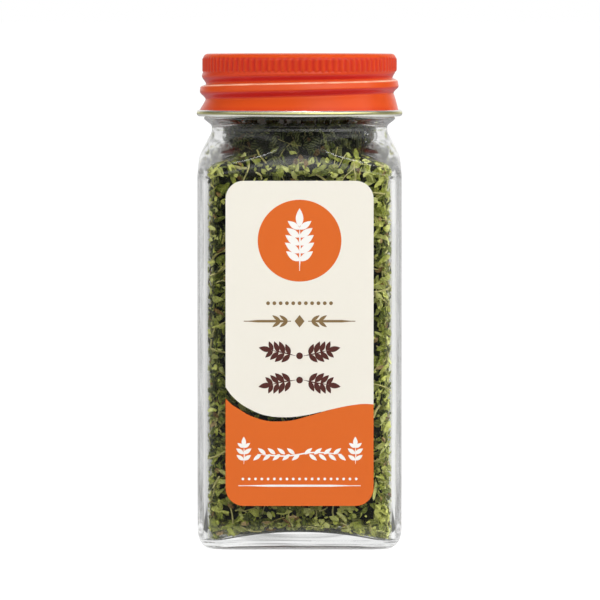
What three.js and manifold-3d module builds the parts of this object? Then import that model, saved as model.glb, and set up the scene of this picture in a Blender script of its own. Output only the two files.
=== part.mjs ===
// A square glass spice jar with a screw cap, filled with crushed dried curry leaves.
// Millimetres, +Z up. The origin is the middle of the base, and the label looks along -Y.

import * as THREE from 'three';
import { mergeVertices } from 'three/addons/utils/BufferGeometryUtils.js';
import Module from 'manifold-3d';

const wasm = await Module();
wasm.setup();

// Glass body
const BODY_WIDTH = 45.5;
const BODY_CORNER = 6;
const WALL = 2.4;
const INNER_CORNER = 4.5;
const HEEL_INSET = 4;
const HEEL_HEIGHT = 6;
const HEEL_STEPS = [0, 0.35, 0.7, 1];
const BASE_CORNER = 4.5;
const BASE_RING_WIDTH = 3.2;
const PUSH_UP = 0.9;
const PUSH_UP_SLOPE = 2.5;
const FLOOR_EDGE = 2.9;
const FLOOR_CENTRE = 4.3;

// The shoulder is a body of revolution softly cut by the four panels: [height, radius]
const SHOULDER = [[82.6, 34.4], [84.6, 28.8], [86.8, 24.5], [88.35, 23.1], [89.85, 21.75], [91.95, 20.3]];
const INNER_SHOULDER = [[79.2, 34], [81.4, 27], [83.2, 21.6], [85.4, 18.8], [88, 17.7], [91, 17.4]];
const SHOULDER_BLEND = 2.5;

// Neck and screw finish of the glass
const NECK_RADIUS = 19.7;
const NECK_BASE = 93.1;
const BEAD_RADIUS = 21.5;
const BEAD_HEIGHT = 95.8;
const BEAD_SLOPE = 1.6;
const FINISH_RADIUS = 19.8;
const FINISH_BASE = 97;
const RIM_HEIGHT = 108.7;
const LIP_ROUND = 0.8;
const BORE_RADIUS = 17.4;

// One right-hand thread, 8 turns to the inch, on the glass and in the cap
const THREAD_PITCH = 3.175;
const GLASS_THREAD_TURNS = 1.6;
const GLASS_THREAD_TOP = 106.8;
const GLASS_THREAD_CENTRE = 20.05;
const GLASS_THREAD_SECTION = 0.82;

// Screw cap of thin sheet metal
const CAP_TOP = 110.35;
const CAP_TOP_ROUND = 0.9;
const SHEET = 0.3;
const CAP_SIDE = 21.6;
const CAP_LAND = 22.3;
const CAP_NECK = 21.5;
const CURL_RADIUS = 23.1;
const CURL_BOTTOM = 96.3;
const CURL_HEIGHT = 1.45;
const CURL_WIDTH = 1.15;
const KNURL_RIBS = 90;
const KNURL_RADIUS = 21.87;
const KNURL_VALLEY = 21.66;
const KNURL_BOTTOM = 106.4;
const KNURL_TOP = 109.4;

// The groove rolled into the cap, which is a ridge on its inside
const CAP_THREAD_AT_LEFT = 103.85;
const CAP_THREAD_CENTRE = 21.9;
const CAP_RIDGE_SECTION = 1.25;
const CAP_GROOVE_SECTION = 0.95;
const CAP_THREAD_FROM = -3.05 * Math.PI;
const CAP_THREAD_TO = 0.1 * Math.PI;

// Liner disc that the cap presses on the rim
const LINER_RADIUS = 20.7;
const LINER_THICKNESS = 0.75;
const LINER_GAP = 0.3;

// Die-cut label on the front panel, with a wave-shaped window open at its left edge: [x, z]
const LABEL_WIDTH = 32.9;
const LABEL_BOTTOM = 9.9;
const LABEL_TOP = 82.2;
const LABEL_CORNER = 4;
const LABEL_THICKNESS = 0.15;
const LABEL_GAP = 0.2;
const WINDOW_TOP_LEFT = [-LABEL_WIDTH / 2, 36.3];
const WINDOW_TOP_EDGE = [[-13.4, 32.9], [-8.8, 30.4], [-4.2, 29.65]];
const WINDOW_TIP = [6.7, 31.3];
const WINDOW_BOTTOM_EDGE = [[2, 29.9], [-1.9, 28.9], [-5.7, 28.7], [-9.7, 29.5], [-13.4, 31.4]];
const WINDOW_BOTTOM_LEFT = [-LABEL_WIDTH / 2, 33.8];

// Crushed leaves: torn flakes that stand out of a core, all clear of the glass
const FILL_HEIGHT = 98.2;
const LEAF_CLEARANCE = 0.35;
const CORE_DEPTH = 1.9;
const FLOOR_LIFT = 0.6;
const FLAKE_LENGTH = [8, 10.5];
const FLAKE_WIDTH = [5.4, 7.4];
const FLAKE_THICKNESS = 0.62;
const FLAKE_TILT = 0.22;
const FLAKE_ROW = 8;
const FLAKE_STEP = 8;
const FLAKE_STAND = 0.6;
const FLAKE_ROWS_FROM = FLOOR_EDGE + 3.4;
const FLAKE_ROWS_TO = 83.5;
const TOP_ROW_LEAN = 0.7;
const TOP_ROW_INSET = 1.4;
const NECK_ROWS = [88.5, 94.5];
const NECK_FLAKES = 10;
const TOP_RINGS = [[1, 1], [6, 4], [12.4, 8]];
const FLAKE_SEED = 7;

// Steps on each half flat and each corner of a ring, and round a circle
const GLASS_STEPS = { flat: 3, corner: 5 };
const LEAF_STEPS = { flat: 1, corner: 2 };
const CAP_STEPS = 48;
const THREAD_STEPS_PER_TURN = 20;

const HALF = BODY_WIDTH / 2;
const QUARTER_TURN = Math.PI / 2;
const FULL_TURN = 2 * Math.PI;
const { lerp } = THREE.MathUtils;

// The angles round a ring, which starts at the middle of the +X panel.
function ringAngles({ flat, corner }) {
  const flatEnd = Math.atan2(HALF - BODY_CORNER, HALF);
  const cornerSpan = QUARTER_TURN - 2 * flatEnd;
  const angles = [];
  for (let quarter = 0; quarter < 4; quarter += 1) {
    const start = quarter * QUARTER_TURN;
    for (let step = 0; step < flat; step += 1) {
      angles.push(start + step * flatEnd / flat);
    }
    for (let step = 0; step < corner; step += 1) {
      angles.push(start + flatEnd + step * cornerSpan / corner);
    }
    for (let step = 0; step < flat; step += 1) {
      angles.push(start + flatEnd + cornerSpan + step * flatEnd / flat);
    }
  }
  return angles;
}

// How far a rounded square reaches from its middle in one direction.
function squareReach(angle, half, corner) {
  const turn = THREE.MathUtils.euclideanModulo(angle, QUARTER_TURN);
  const fromPanel = Math.min(turn, QUARTER_TURN - turn);
  const cornerCentre = half - corner;
  if (Math.tan(fromPanel) * half <= cornerCentre) {
    return half / Math.cos(fromPanel);
  }
  const along = cornerCentre * (Math.cos(fromPanel) + Math.sin(fromPanel));
  const across = cornerCentre * (Math.cos(fromPanel) - Math.sin(fromPanel));
  return along + Math.sqrt(corner * corner - across * across);
}

// The smaller of two reaches, with a soft change from one to the other.
function softSmaller(a, b) {
  const near = Math.max(SHOULDER_BLEND - Math.abs(a - b), 0) / SHOULDER_BLEND;
  return Math.min(a, b) - near * near * SHOULDER_BLEND / 4;
}

// Rows of a ring body: each gives its height and its reach at an angle.
const axisRow = (height) => ({ height, reach: () => 0 });
const roundRow = (height, radius) => ({ height, reach: () => radius });
const squareRow = (height, half, corner) => ({
  height,
  reach: (angle) => squareReach(angle, half, corner),
});
const shoulderRow = (height, half, corner, radius) => ({
  height,
  reach: (angle) => softSmaller(squareReach(angle, half, corner), radius),
});

// A lathe whose rings each take the outline of their row.
function ringBody(rows, angles) {
  const profile = rows.map((row) => new THREE.Vector2(1, row.height));
  const geometry = new THREE.LatheGeometry(profile, angles.length);
  const position = geometry.getAttribute('position');
  for (let step = 0; step <= angles.length; step += 1) {
    const angle = angles[step % angles.length];
    rows.forEach((row, place) => {
      const reach = row.reach(angle);
      const vertex = step * rows.length + place;
      position.setXYZ(vertex, reach * Math.cos(angle), reach * Math.sin(angle), row.height);
    });
  }
  return geometry;
}

// A solid of revolution about Z from [radius, height] pairs that start and end on the axis.
function turned(pairs) {
  const profile = pairs.map(([radius, height]) => new THREE.Vector2(radius, height));
  const geometry = new THREE.LatheGeometry(profile, CAP_STEPS);
  geometry.rotateX(QUARTER_TURN);
  return geometry;
}

// A geometry with shared corners and no triangle that has shrunk to a line.
function welded(geometry) {
  geometry.deleteAttribute('normal');
  geometry.deleteAttribute('uv');
  const merged = mergeVertices(geometry);
  const triangles = [];
  for (let i = 0; i < merged.index.count; i += 3) {
    const [a, b, c] = [0, 1, 2].map((k) => merged.index.getX(i + k));
    if (a !== b && b !== c && c !== a) {
      triangles.push(a, b, c);
    }
  }
  merged.setIndex(triangles);
  return merged;
}

function toSolid(geometry) {
  const clean = welded(geometry);
  const vertProperties = new Float32Array(clean.getAttribute('position').array);
  const triVerts = new Uint32Array(clean.index.array);
  return new wasm.Manifold(new wasm.Mesh({ numProp: 3, vertProperties, triVerts }));
}

function toGeometry(solid) {
  const mesh = solid.getMesh();
  const corners = new Float32Array(mesh.vertProperties);
  const geometry = new THREE.BufferGeometry();
  geometry.setAttribute('position', new THREE.BufferAttribute(corners, 3));
  geometry.setIndex(Array.from(mesh.triVerts));
  return geometry;
}

// For each vertex, one vertex that stands for the connected skin it belongs to.
function skinOfEachVertex(vertexCount, triangles) {
  const parent = Array.from({ length: vertexCount }, (_, vertex) => vertex);
  const skinOf = (vertex) => {
    let at = vertex;
    while (parent[at] !== at) {
      parent[at] = parent[parent[at]];
      at = parent[at];
    }
    return at;
  };
  for (let i = 0; i < triangles.length; i += 3) {
    parent[skinOf(triangles[i])] = skinOf(triangles[i + 1]);
    parent[skinOf(triangles[i + 1])] = skinOf(triangles[i + 2]);
  }
  return parent.map((_, vertex) => skinOf(vertex));
}

// Only the skin round the most volume: loose scraps and sealed hollows are left out.
function largestSkin(geometry) {
  const position = geometry.getAttribute('position');
  const triangles = geometry.index.array;
  const skins = skinOfEachVertex(position.count, triangles);
  const volumes = new Map();
  const [a, b, c] = [new THREE.Vector3(), new THREE.Vector3(), new THREE.Vector3()];
  for (let i = 0; i < triangles.length; i += 3) {
    a.fromBufferAttribute(position, triangles[i]);
    b.fromBufferAttribute(position, triangles[i + 1]);
    c.fromBufferAttribute(position, triangles[i + 2]);
    const skin = skins[triangles[i]];
    volumes.set(skin, (volumes.get(skin) ?? 0) + a.dot(b.cross(c)) / 6);
  }
  const [largest] = [...volumes].sort((p, q) => q[1] - p[1])[0];
  const kept = [];
  for (let i = 0; i < triangles.length; i += 3) {
    if (skins[triangles[i]] === largest) {
      kept.push(triangles[i], triangles[i + 1], triangles[i + 2]);
    }
  }
  const result = geometry.clone();
  result.setIndex(kept);
  return result;
}

// A right-hand helix about Z that rises by the thread's pitch in each turn.
class Helix extends THREE.Curve {
  constructor(radius, from, to, heightAtZero) {
    super();
    Object.assign(this, { radius, from, to, heightAtZero });
  }

  getPoint(t, target = new THREE.Vector3()) {
    const angle = lerp(this.from, this.to, t);
    const height = this.heightAtZero + THREAD_PITCH * angle / FULL_TURN;
    return target.set(this.radius * Math.cos(angle), this.radius * Math.sin(angle), height);
  }
}

function helicalTube(helix, sectionRadius) {
  const section = new THREE.Shape();
  section.absarc(0, 0, sectionRadius, 0, FULL_TURN);
  const steps = Math.round((helix.to - helix.from) / FULL_TURN * THREAD_STEPS_PER_TURN);
  const tube = new THREE.ExtrudeGeometry(section, { extrudePath: helix, steps, curveSegments: 4 });
  return toSolid(tube);
}

// The cap's groove is half a pitch below the glass thread, all the way round.
const CAP_THREAD_AT_ZERO = CAP_THREAD_AT_LEFT + THREAD_PITCH / 2;
const GLASS_THREAD_AT_ZERO = CAP_THREAD_AT_ZERO + THREAD_PITCH / 2;

// The inside of the glass, drawn in by an inset, from the middle of the floor up to a height.
function insideRows(inset, topHeight) {
  const half = HALF - WALL - inset;
  const lift = Math.min(inset, FLOOR_LIFT);
  const floorRow = (height, share) => squareRow(height + lift, half * share, INNER_CORNER);
  const shoulder = INNER_SHOULDER.map(([height, radius]) => (
    shoulderRow(height - inset, half, INNER_CORNER, radius - inset)
  ));
  return [
    axisRow(FLOOR_CENTRE + lift),
    floorRow(FLOOR_CENTRE - 0.5, 0.4),
    floorRow(FLOOR_EDGE, 0.76),
    floorRow(FLOOR_EDGE + 0.8, 0.89),
    floorRow(FLOOR_EDGE + 2.5, 0.97),
    floorRow(FLOOR_EDGE + 5.3, 1),
    ...shoulder,
    roundRow(topHeight, BORE_RADIUS - inset),
  ];
}

function heelRows() {
  return HEEL_STEPS.map((step) => {
    const angle = step * QUARTER_TURN;
    const inset = HEEL_INSET * (1 - Math.sin(angle));
    const corner = lerp(BODY_CORNER, BASE_CORNER, inset / HEEL_INSET);
    return squareRow(HEEL_HEIGHT * (1 - Math.cos(angle)), HALF - inset, corner);
  });
}

function finishRows() {
  return [
    roundRow(NECK_BASE, NECK_RADIUS),
    roundRow(BEAD_HEIGHT - BEAD_SLOPE, NECK_RADIUS),
    roundRow(BEAD_HEIGHT - 0.2, BEAD_RADIUS - 0.15),
    roundRow(BEAD_HEIGHT + 0.3, BEAD_RADIUS - 0.1),
    roundRow(FINISH_BASE, FINISH_RADIUS),
    roundRow(RIM_HEIGHT - LIP_ROUND, FINISH_RADIUS),
    roundRow(RIM_HEIGHT, FINISH_RADIUS - LIP_ROUND),
    roundRow(RIM_HEIGHT, BORE_RADIUS + LIP_ROUND / 2),
  ];
}

function glassJar() {
  const ringInside = HALF - HEEL_INSET - BASE_RING_WIDTH;
  const rows = [
    axisRow(PUSH_UP),
    squareRow(PUSH_UP, ringInside - PUSH_UP_SLOPE, BASE_CORNER),
    squareRow(0, ringInside, BASE_CORNER),
    ...heelRows(),
    ...SHOULDER.map(([height, radius]) => shoulderRow(height, HALF, BODY_CORNER, radius)),
    ...finishRows(),
    ...insideRows(0, RIM_HEIGHT - LIP_ROUND / 2).reverse(),
  ];
  const top = FULL_TURN * (GLASS_THREAD_TOP - GLASS_THREAD_AT_ZERO) / THREAD_PITCH;
  const bottom = top - FULL_TURN * GLASS_THREAD_TURNS;
  const path = new Helix(GLASS_THREAD_CENTRE, bottom, top, GLASS_THREAD_AT_ZERO);
  const blank = toSolid(ringBody(rows, ringAngles(GLASS_STEPS)));
  return toGeometry(blank.add(helicalTube(path, GLASS_THREAD_SECTION)));
}

function knurlRing() {
  const ribs = [];
  for (let point = 0; point < 2 * KNURL_RIBS; point += 1) {
    const radius = point % 2 ? KNURL_VALLEY : KNURL_RADIUS;
    const angle = Math.PI * point / KNURL_RIBS;
    ribs.push(new THREE.Vector2(radius * Math.cos(angle), radius * Math.sin(angle)));
  }
  const outline = new THREE.Shape(ribs);
  const inner = new THREE.Path();
  inner.absarc(0, 0, CAP_SIDE - SHEET / 2, 0, FULL_TURN);
  outline.holes.push(inner);
  const ring = new THREE.ExtrudeGeometry(outline, {
    depth: KNURL_TOP - KNURL_BOTTOM,
    bevelEnabled: false,
    curveSegments: CAP_STEPS / 2,
  });
  ring.translate(0, 0, KNURL_BOTTOM);
  return toSolid(ring);
}

function screwCap() {
  const curlTop = CURL_BOTTOM + CURL_HEIGHT;
  const outside = [
    [0, CURL_BOTTOM],
    [CURL_RADIUS - 0.5, CURL_BOTTOM],
    [CURL_RADIUS, CURL_BOTTOM + 0.45],
    [CURL_RADIUS, curlTop - 0.45],
    [CURL_RADIUS - 0.6, curlTop],
    [CAP_NECK, curlTop + 2.65],
    [CAP_LAND, curlTop + 4.35],
    [CAP_LAND, KNURL_BOTTOM - 2],
    [CAP_LAND - 0.35, KNURL_BOTTOM - 1.2],
    [CAP_SIDE, KNURL_BOTTOM - 0.2],
    [CAP_SIDE, KNURL_TOP + 0.1],
    [CAP_SIDE - 0.3, CAP_TOP - 0.3],
    [CAP_SIDE - CAP_TOP_ROUND, CAP_TOP],
    [0, CAP_TOP],
  ];
  const inside = [
    [0, CURL_BOTTOM - 1],
    [CURL_RADIUS - 0.6, CURL_BOTTOM - 1],
    [CURL_RADIUS - 0.6, CURL_BOTTOM + 0.1],
    [CURL_RADIUS - CURL_WIDTH, CURL_BOTTOM + 0.6],
    [CURL_RADIUS - CURL_WIDTH, curlTop - 0.25],
    [CAP_NECK - SHEET, curlTop + 2.65],
    [CAP_LAND - SHEET, curlTop + 4.35],
    [CAP_LAND - SHEET, KNURL_BOTTOM - 2],
    [CAP_SIDE - SHEET, KNURL_BOTTOM - 0.2],
    [CAP_SIDE - SHEET, KNURL_TOP + 0.1],
    [CAP_SIDE - CAP_TOP_ROUND, CAP_TOP - SHEET],
    [0, CAP_TOP - SHEET],
  ];
  const path = new Helix(CAP_THREAD_CENTRE, CAP_THREAD_FROM, CAP_THREAD_TO, CAP_THREAD_AT_ZERO);
  const hollow = toSolid(turned(inside)).subtract(helicalTube(path, CAP_RIDGE_SECTION));
  const shell = toSolid(turned(outside)).subtract(hollow);
  return toGeometry(shell.subtract(helicalTube(path, CAP_GROOVE_SECTION)).add(knurlRing()));
}

function capLiner() {
  const disc = new THREE.CylinderGeometry(LINER_RADIUS, LINER_RADIUS, LINER_THICKNESS, CAP_STEPS);
  disc.rotateX(QUARTER_TURN);
  disc.translate(0, 0, RIM_HEIGHT + LINER_GAP + LINER_THICKNESS / 2);
  return disc;
}

function frontLabel() {
  const right = LABEL_WIDTH / 2 - LABEL_CORNER;
  const low = LABEL_BOTTOM + LABEL_CORNER;
  const high = LABEL_TOP - LABEL_CORNER;
  const curveThrough = (pairs) => pairs.map(([x, z]) => new THREE.Vector2(x, z));
  const outline = new THREE.Shape();
  outline.moveTo(-right - LABEL_CORNER, low);
  outline.absarc(-right, low, LABEL_CORNER, 2 * QUARTER_TURN, 3 * QUARTER_TURN);
  outline.absarc(right, low, LABEL_CORNER, 3 * QUARTER_TURN, FULL_TURN);
  outline.absarc(right, high, LABEL_CORNER, 0, QUARTER_TURN);
  outline.absarc(-right, high, LABEL_CORNER, QUARTER_TURN, 2 * QUARTER_TURN);
  outline.lineTo(...WINDOW_TOP_LEFT);
  outline.splineThru(curveThrough([...WINDOW_TOP_EDGE, WINDOW_TIP]));
  outline.splineThru(curveThrough([...WINDOW_BOTTOM_EDGE, WINDOW_BOTTOM_LEFT]));
  outline.closePath();
  const label = new THREE.ExtrudeGeometry(outline, {
    depth: LABEL_THICKNESS,
    bevelEnabled: false,
    curveSegments: 3,
  });
  label.rotateX(QUARTER_TURN);
  label.translate(0, -HALF - LABEL_GAP, 0);
  return label;
}

// A repeatable stream of numbers from 0 to 1.
function randomStream(seed) {
  let state = seed;
  return () => {
    state = (state + 0x6d2b79f5) | 0;
    let mixed = Math.imul(state ^ (state >>> 15), 1 | state);
    mixed = (mixed + Math.imul(mixed ^ (mixed >>> 7), 61 | mixed)) ^ mixed;
    return ((mixed ^ (mixed >>> 14)) >>> 0) / 4294967296;
  };
}

// One torn flake: a thin four-cornered blade round its own origin, lying in XY.
function flakeBlade(random) {
  const length = lerp(...FLAKE_LENGTH, random());
  const width = lerp(...FLAKE_WIDTH, random());
  const off = (share) => (random() - 0.5) * share;
  const outline = new THREE.Shape([
    new THREE.Vector2(-length / 2, off(width)),
    new THREE.Vector2(off(0.7 * length), -width / 2),
    new THREE.Vector2(length / 2, off(0.8 * width)),
    new THREE.Vector2(off(0.7 * length), width / 2),
  ]);
  const blade = new THREE.ExtrudeGeometry(outline, { depth: FLAKE_THICKNESS, bevelEnabled: false });
  blade.translate(0, 0, -FLAKE_THICKNESS / 2);
  return blade;
}

// A blade turned to face outward, tipped a little and set at a point.
function placedFlake(random, { point, outward }) {
  const blade = flakeBlade(random);
  blade.rotateZ(random() * FULL_TURN);
  blade.rotateX((2 * random() - 1) * FLAKE_TILT);
  blade.rotateY((2 * random() - 1) * FLAKE_TILT);
  blade.applyQuaternion(new THREE.Quaternion().setFromUnitVectors(new THREE.Vector3(0, 0, 1), outward));
  blade.translate(point.x, point.y, point.z);
  return toSolid(blade);
}

// A place on a ring, with the way that its flake faces.
function placeOnRing(angle, reach, height, facing, lean) {
  return {
    point: new THREE.Vector3(reach * Math.cos(angle), reach * Math.sin(angle), height),
    outward: new THREE.Vector3(Math.cos(facing), Math.sin(facing), lean).normalize(),
  };
}

function placesOnSides(random) {
  const places = [];
  const half = HALF - WALL - CORE_DEPTH + FLAKE_STAND;
  const rowCount = Math.round((FLAKE_ROWS_TO - FLAKE_ROWS_FROM) / FLAKE_ROW);
  const columns = Math.round(8 * half / FLAKE_STEP);
  for (let row = 0; row <= rowCount; row += 1) {
    const isTop = row === rowCount;
    const height = lerp(FLAKE_ROWS_FROM, FLAKE_ROWS_TO, row / rowCount);
    for (let column = 0; column < columns; column += 1) {
      const angle = FULL_TURN * (column + (row % 2) / 2 + (random() - 0.5) / 2) / columns;
      const reach = squareReach(angle, isTop ? half - TOP_ROW_INSET : half, INNER_CORNER);
      const panel = Math.round(angle / QUARTER_TURN) * QUARTER_TURN;
      const jitter = (random() - 0.5) * FLAKE_ROW * 0.6;
      const facing = lerp(panel, angle, 0.35);
      places.push(placeOnRing(angle, reach, height + jitter, facing, isTop ? TOP_ROW_LEAN : 0));
    }
  }
  return places;
}

function placesInNeck(random) {
  const places = [];
  const reach = BORE_RADIUS - CORE_DEPTH + FLAKE_STAND;
  for (const height of NECK_ROWS) {
    for (let column = 0; column < NECK_FLAKES; column += 1) {
      const angle = FULL_TURN * (column + random() / 2) / NECK_FLAKES;
      places.push(placeOnRing(angle, reach, height, angle, 0));
    }
  }
  return places;
}

function placesOnTop(random) {
  const places = [];
  for (const [reach, count] of TOP_RINGS) {
    for (let column = 0; column < count; column += 1) {
      const angle = FULL_TURN * (column + random() / 2) / count;
      const place = placeOnRing(angle, reach, FILL_HEIGHT - CORE_DEPTH + FLAKE_STAND, angle, 0);
      place.outward.set(0, 0, 1);
      places.push(place);
    }
  }
  return places;
}

// The inside of the glass, drawn in by an inset and closed by a flat top.
function insideSolid(inset, topHeight) {
  const rows = [...insideRows(inset, topHeight), axisRow(topHeight)];
  return toSolid(ringBody(rows, ringAngles(LEAF_STEPS)));
}

function leafFill() {
  const random = randomStream(FLAKE_SEED);
  const places = [...placesOnSides(random), ...placesInNeck(random), ...placesOnTop(random)];
  let mass = insideSolid(CORE_DEPTH, FILL_HEIGHT - CORE_DEPTH);
  for (const place of places) {
    mass = mass.add(placedFlake(random, place));
  }
  return largestSkin(toGeometry(mass.intersect(insideSolid(LEAF_CLEARANCE, FILL_HEIGHT))));
}

const filledJar = new THREE.Group();

function addPart(name, geometry, color, roughness, metalness) {
  const mesh = new THREE.Mesh(geometry, new THREE.MeshStandardMaterial({ color, roughness, metalness }));
  mesh.name = name;
  filledJar.add(mesh);
}

addPart('glass_jar', glassJar(), 0xe9f1ee, 0.05, 0);
addPart('front_label', frontLabel(), 0xefebe0, 0.6, 0);
addPart('leaf_fill', leafFill(), 0x6f7a3c, 0.8, 0);
addPart('cap_liner', capLiner(), 0xf2f0ea, 0.6, 0);
addPart('screw_cap', screwCap(), 0xe45824, 0.35, 0.3);

export default filledJar;
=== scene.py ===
# %% [markdown]
# # A square spice jar, full of crushed curry leaves
#
# The object is a small glass jar with flat panels, a round neck and an orange screw cap. It is full of
# dried curry leaves that were crushed into flakes, and a two-colour label is stuck to its front. This file
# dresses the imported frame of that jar: every solid keeps its place, and the looks are built round it. The
# frame is loaded first, because each piece takes its place and its body from it.

# %% Load the frame
import math

import bpy
import numpy as np
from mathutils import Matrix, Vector


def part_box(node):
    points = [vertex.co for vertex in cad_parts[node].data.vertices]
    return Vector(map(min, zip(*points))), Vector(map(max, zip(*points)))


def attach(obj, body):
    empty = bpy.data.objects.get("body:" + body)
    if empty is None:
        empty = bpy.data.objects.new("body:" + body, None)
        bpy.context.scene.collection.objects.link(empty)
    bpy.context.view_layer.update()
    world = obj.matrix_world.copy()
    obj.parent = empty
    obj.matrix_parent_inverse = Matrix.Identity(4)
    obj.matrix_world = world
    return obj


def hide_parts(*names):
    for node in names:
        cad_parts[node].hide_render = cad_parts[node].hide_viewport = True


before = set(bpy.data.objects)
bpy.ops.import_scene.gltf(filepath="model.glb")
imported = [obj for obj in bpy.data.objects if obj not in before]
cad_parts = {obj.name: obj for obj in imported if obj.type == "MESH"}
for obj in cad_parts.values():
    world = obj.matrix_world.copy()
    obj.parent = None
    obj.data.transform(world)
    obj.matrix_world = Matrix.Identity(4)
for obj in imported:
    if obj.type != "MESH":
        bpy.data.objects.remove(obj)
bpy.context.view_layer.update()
MM = 0.001
FULL_TURN = 2 * math.pi

# %% [markdown]
# ## The camera
#
# The jar is seen square on from its front, from just above its cap and over two metres away, so that its
# edges hardly converge. A long lens does that. A short lens close up would show the top of the cap and make
# the jar taper.

# %% Camera
EYE = Vector((0, -2.2, 0.12))
LOOK_AT = Vector((0.0001, 0, 0.05504))
LENS = 588.0
camera_data = bpy.data.cameras.new("product_camera")
camera_data.lens = LENS
camera_data.sensor_width = 36
camera_data.sensor_fit = "HORIZONTAL"
camera_data.clip_start = 0.01
camera_data.clip_end = 200
camera = bpy.data.objects.new("product_camera", camera_data)
camera.location = EYE
camera.rotation_euler = (LOOK_AT - EYE).to_track_quat("-Z", "Y").to_euler()
bpy.context.scene.collection.objects.link(camera)
bpy.context.scene.camera = camera
bpy.context.scene.view_settings.view_transform = "Standard"
bpy.context.scene.view_settings.look = "None"

# Light crosses a glass wall many times before it leaves, so it is followed for longer than usual.
light_paths = bpy.context.scene.cycles
light_paths.max_bounces = 96
light_paths.glossy_bounces = 90
light_paths.transmission_bounces = 90
print("camera", round((LOOK_AT - EYE).length, 3), "m away")

# %% [markdown]
# ## Helpers for bodies made of rings
#
# The jar, the cap and the core of the leaves are all stacks of rings: a closed outline at each height,
# joined to the next one. A jar is round at the neck and square at the body, so a spin or a screw modifier
# can't make it, and a subdivided box wouldn't hold its exact width. Here each ring is worked out from a
# formula instead: a rounded square, a circle, or the smaller of the two with a soft change between them.

# %% Ring outlines
def square_reach(angle, half, corner):
    """How far a rounded square reaches from its middle in a direction."""
    turn = np.mod(angle, math.pi / 2)
    from_panel = np.minimum(turn, math.pi / 2 - turn)
    centre = half - corner
    along = centre * (np.cos(from_panel) + np.sin(from_panel))
    across = centre * (np.cos(from_panel) - np.sin(from_panel))
    on_arc = along + np.sqrt(np.maximum(corner**2 - across**2, 0))
    return np.where(np.tan(from_panel) * half <= centre, half / np.cos(from_panel), on_arc)


def soft_smaller(a, b, blend=2.6):
    """The smaller of two reaches, with a soft change from one to the other."""
    near = np.maximum(blend - np.abs(a - b), 0) / blend
    return np.minimum(a, b) - near**2 * blend / 4


def smooth_curve(points, per_span):
    """A curve through a few chosen points, as per_span points for each stretch between two of them."""
    p = np.array(points, float)
    p = np.vstack([2 * p[0] - p[1], p, 2 * p[-1] - p[-2]])
    t = (np.arange(per_span) / per_span)[:, None]
    spans = []
    for a, b, c, d in zip(p, p[1:], p[2:], p[3:]):
        spans.append(b + t * ((c - a) + t * ((2 * a - 5 * b + 4 * c - d) + t * (3 * b - a - 3 * c + d))) / 2)
    return np.vstack([*spans, p[-2:-1]])


def add_mesh(name, points, faces, smooth=True):
    """A mesh object from points in millimetres and faces."""
    mesh = bpy.data.meshes.new(name)
    mesh.from_pydata(np.asarray(points) * MM, [], faces)
    mesh.validate()
    mesh.polygons.foreach_set("use_smooth", [smooth] * len(mesh.polygons))
    piece = bpy.data.objects.new(name, mesh)
    bpy.context.scene.collection.objects.link(piece)
    return piece


def write_on_points(piece, name, values):
    """Writes one number for each point of a piece, for a material to read."""
    attribute = piece.data.attributes.new(name, "FLOAT", "POINT")
    attribute.data.foreach_set("value", values.astype(np.float32))


def ring_body(name, reach, height, angles, looped=False):
    """A skin over rings. reach and height are given row by row and angle by angle.

    A row that reaches nowhere closes to a point. A looped body joins its last row to its first."""
    rows, steps = reach.shape
    points = []
    ids = np.zeros((rows, steps), int)
    for row in range(rows):
        ring = np.stack([reach[row] * np.cos(angles), reach[row] * np.sin(angles), height[row]], axis=1)
        is_point = not reach[row].any()
        ids[row] = len(points) + (0 if is_point else np.arange(steps))
        points.extend(ring[:1] if is_point else ring)
    faces = []
    for lower, upper in zip(ids, np.roll(ids, -1, axis=0) if looped else ids[1:]):
        quads = np.stack([lower, np.roll(lower, -1), np.roll(upper, -1), upper], axis=1)
        if lower[0] == lower[1]:
            quads = quads[:, [0, 2, 3]]
        elif upper[0] == upper[1]:
            quads = quads[:, [0, 1, 3]]
        faces.extend(quads.tolist())
    return add_mesh(name, points, faces)


# %% [markdown]
# ## The glass jar
#
# The jar is pressed from clear glass: thick at the heel and the base, thinner in the panels, with the floor
# domed up inside. Its look comes from refraction, so it needs the inner wall as well as the outer one, in
# one closed skin. The rows run from under the base, up the outside, over the rim and down the inside. The
# CAD solid is the same shape with few faces, which would show as facets in glass, so this finer one
# replaces it.

# %% Jar sizes
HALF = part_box("glass_jar")[1].x / MM
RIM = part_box("glass_jar")[1].z / MM
BODY_CORNER = 6.0
INNER_CORNER = 3.4
WALL = 2.2
HEEL_INSET = 3.4
HEEL_HEIGHT = 4.4
NECK = 19.7
FINISH = 19.8
BORE = 17.4
FOOT_CORNER = 4.5
PUSH_UP_HEIGHT = 1.6
LEAN_FROM, LEAN_UNTIL = 83.0, 93.2
NO_LIMIT = 1000.0
FLAT_STEPS = 14
CORNER_STEPS = 25
print("jar half width and rim height, mm:", round(HALF, 2), round(RIM, 2))


def panel_angles():
    """Angles round a ring that crowd together on the four corners."""
    flat_end = math.atan2(HALF - BODY_CORNER, HALF)
    flat = np.arange(FLAT_STEPS) * flat_end / FLAT_STEPS
    corner = flat_end + np.arange(CORNER_STEPS) * (math.pi / 2 - 2 * flat_end) / CORNER_STEPS
    quarter = np.concatenate([flat, corner, math.pi / 2 - flat_end + flat])
    return np.concatenate([quarter + k * math.pi / 2 for k in range(4)])


# %% Rows of the jar: height, half width, corner radius and round limit of each
def square_rows(heights_and_halves, corner):
    return [(height, half, corner, NO_LIMIT) for height, half in heights_and_halves]


def round_rows(heights_and_radii):
    return [(height, NO_LIMIT, BODY_CORNER, radius) for height, radius in heights_and_radii]


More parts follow.
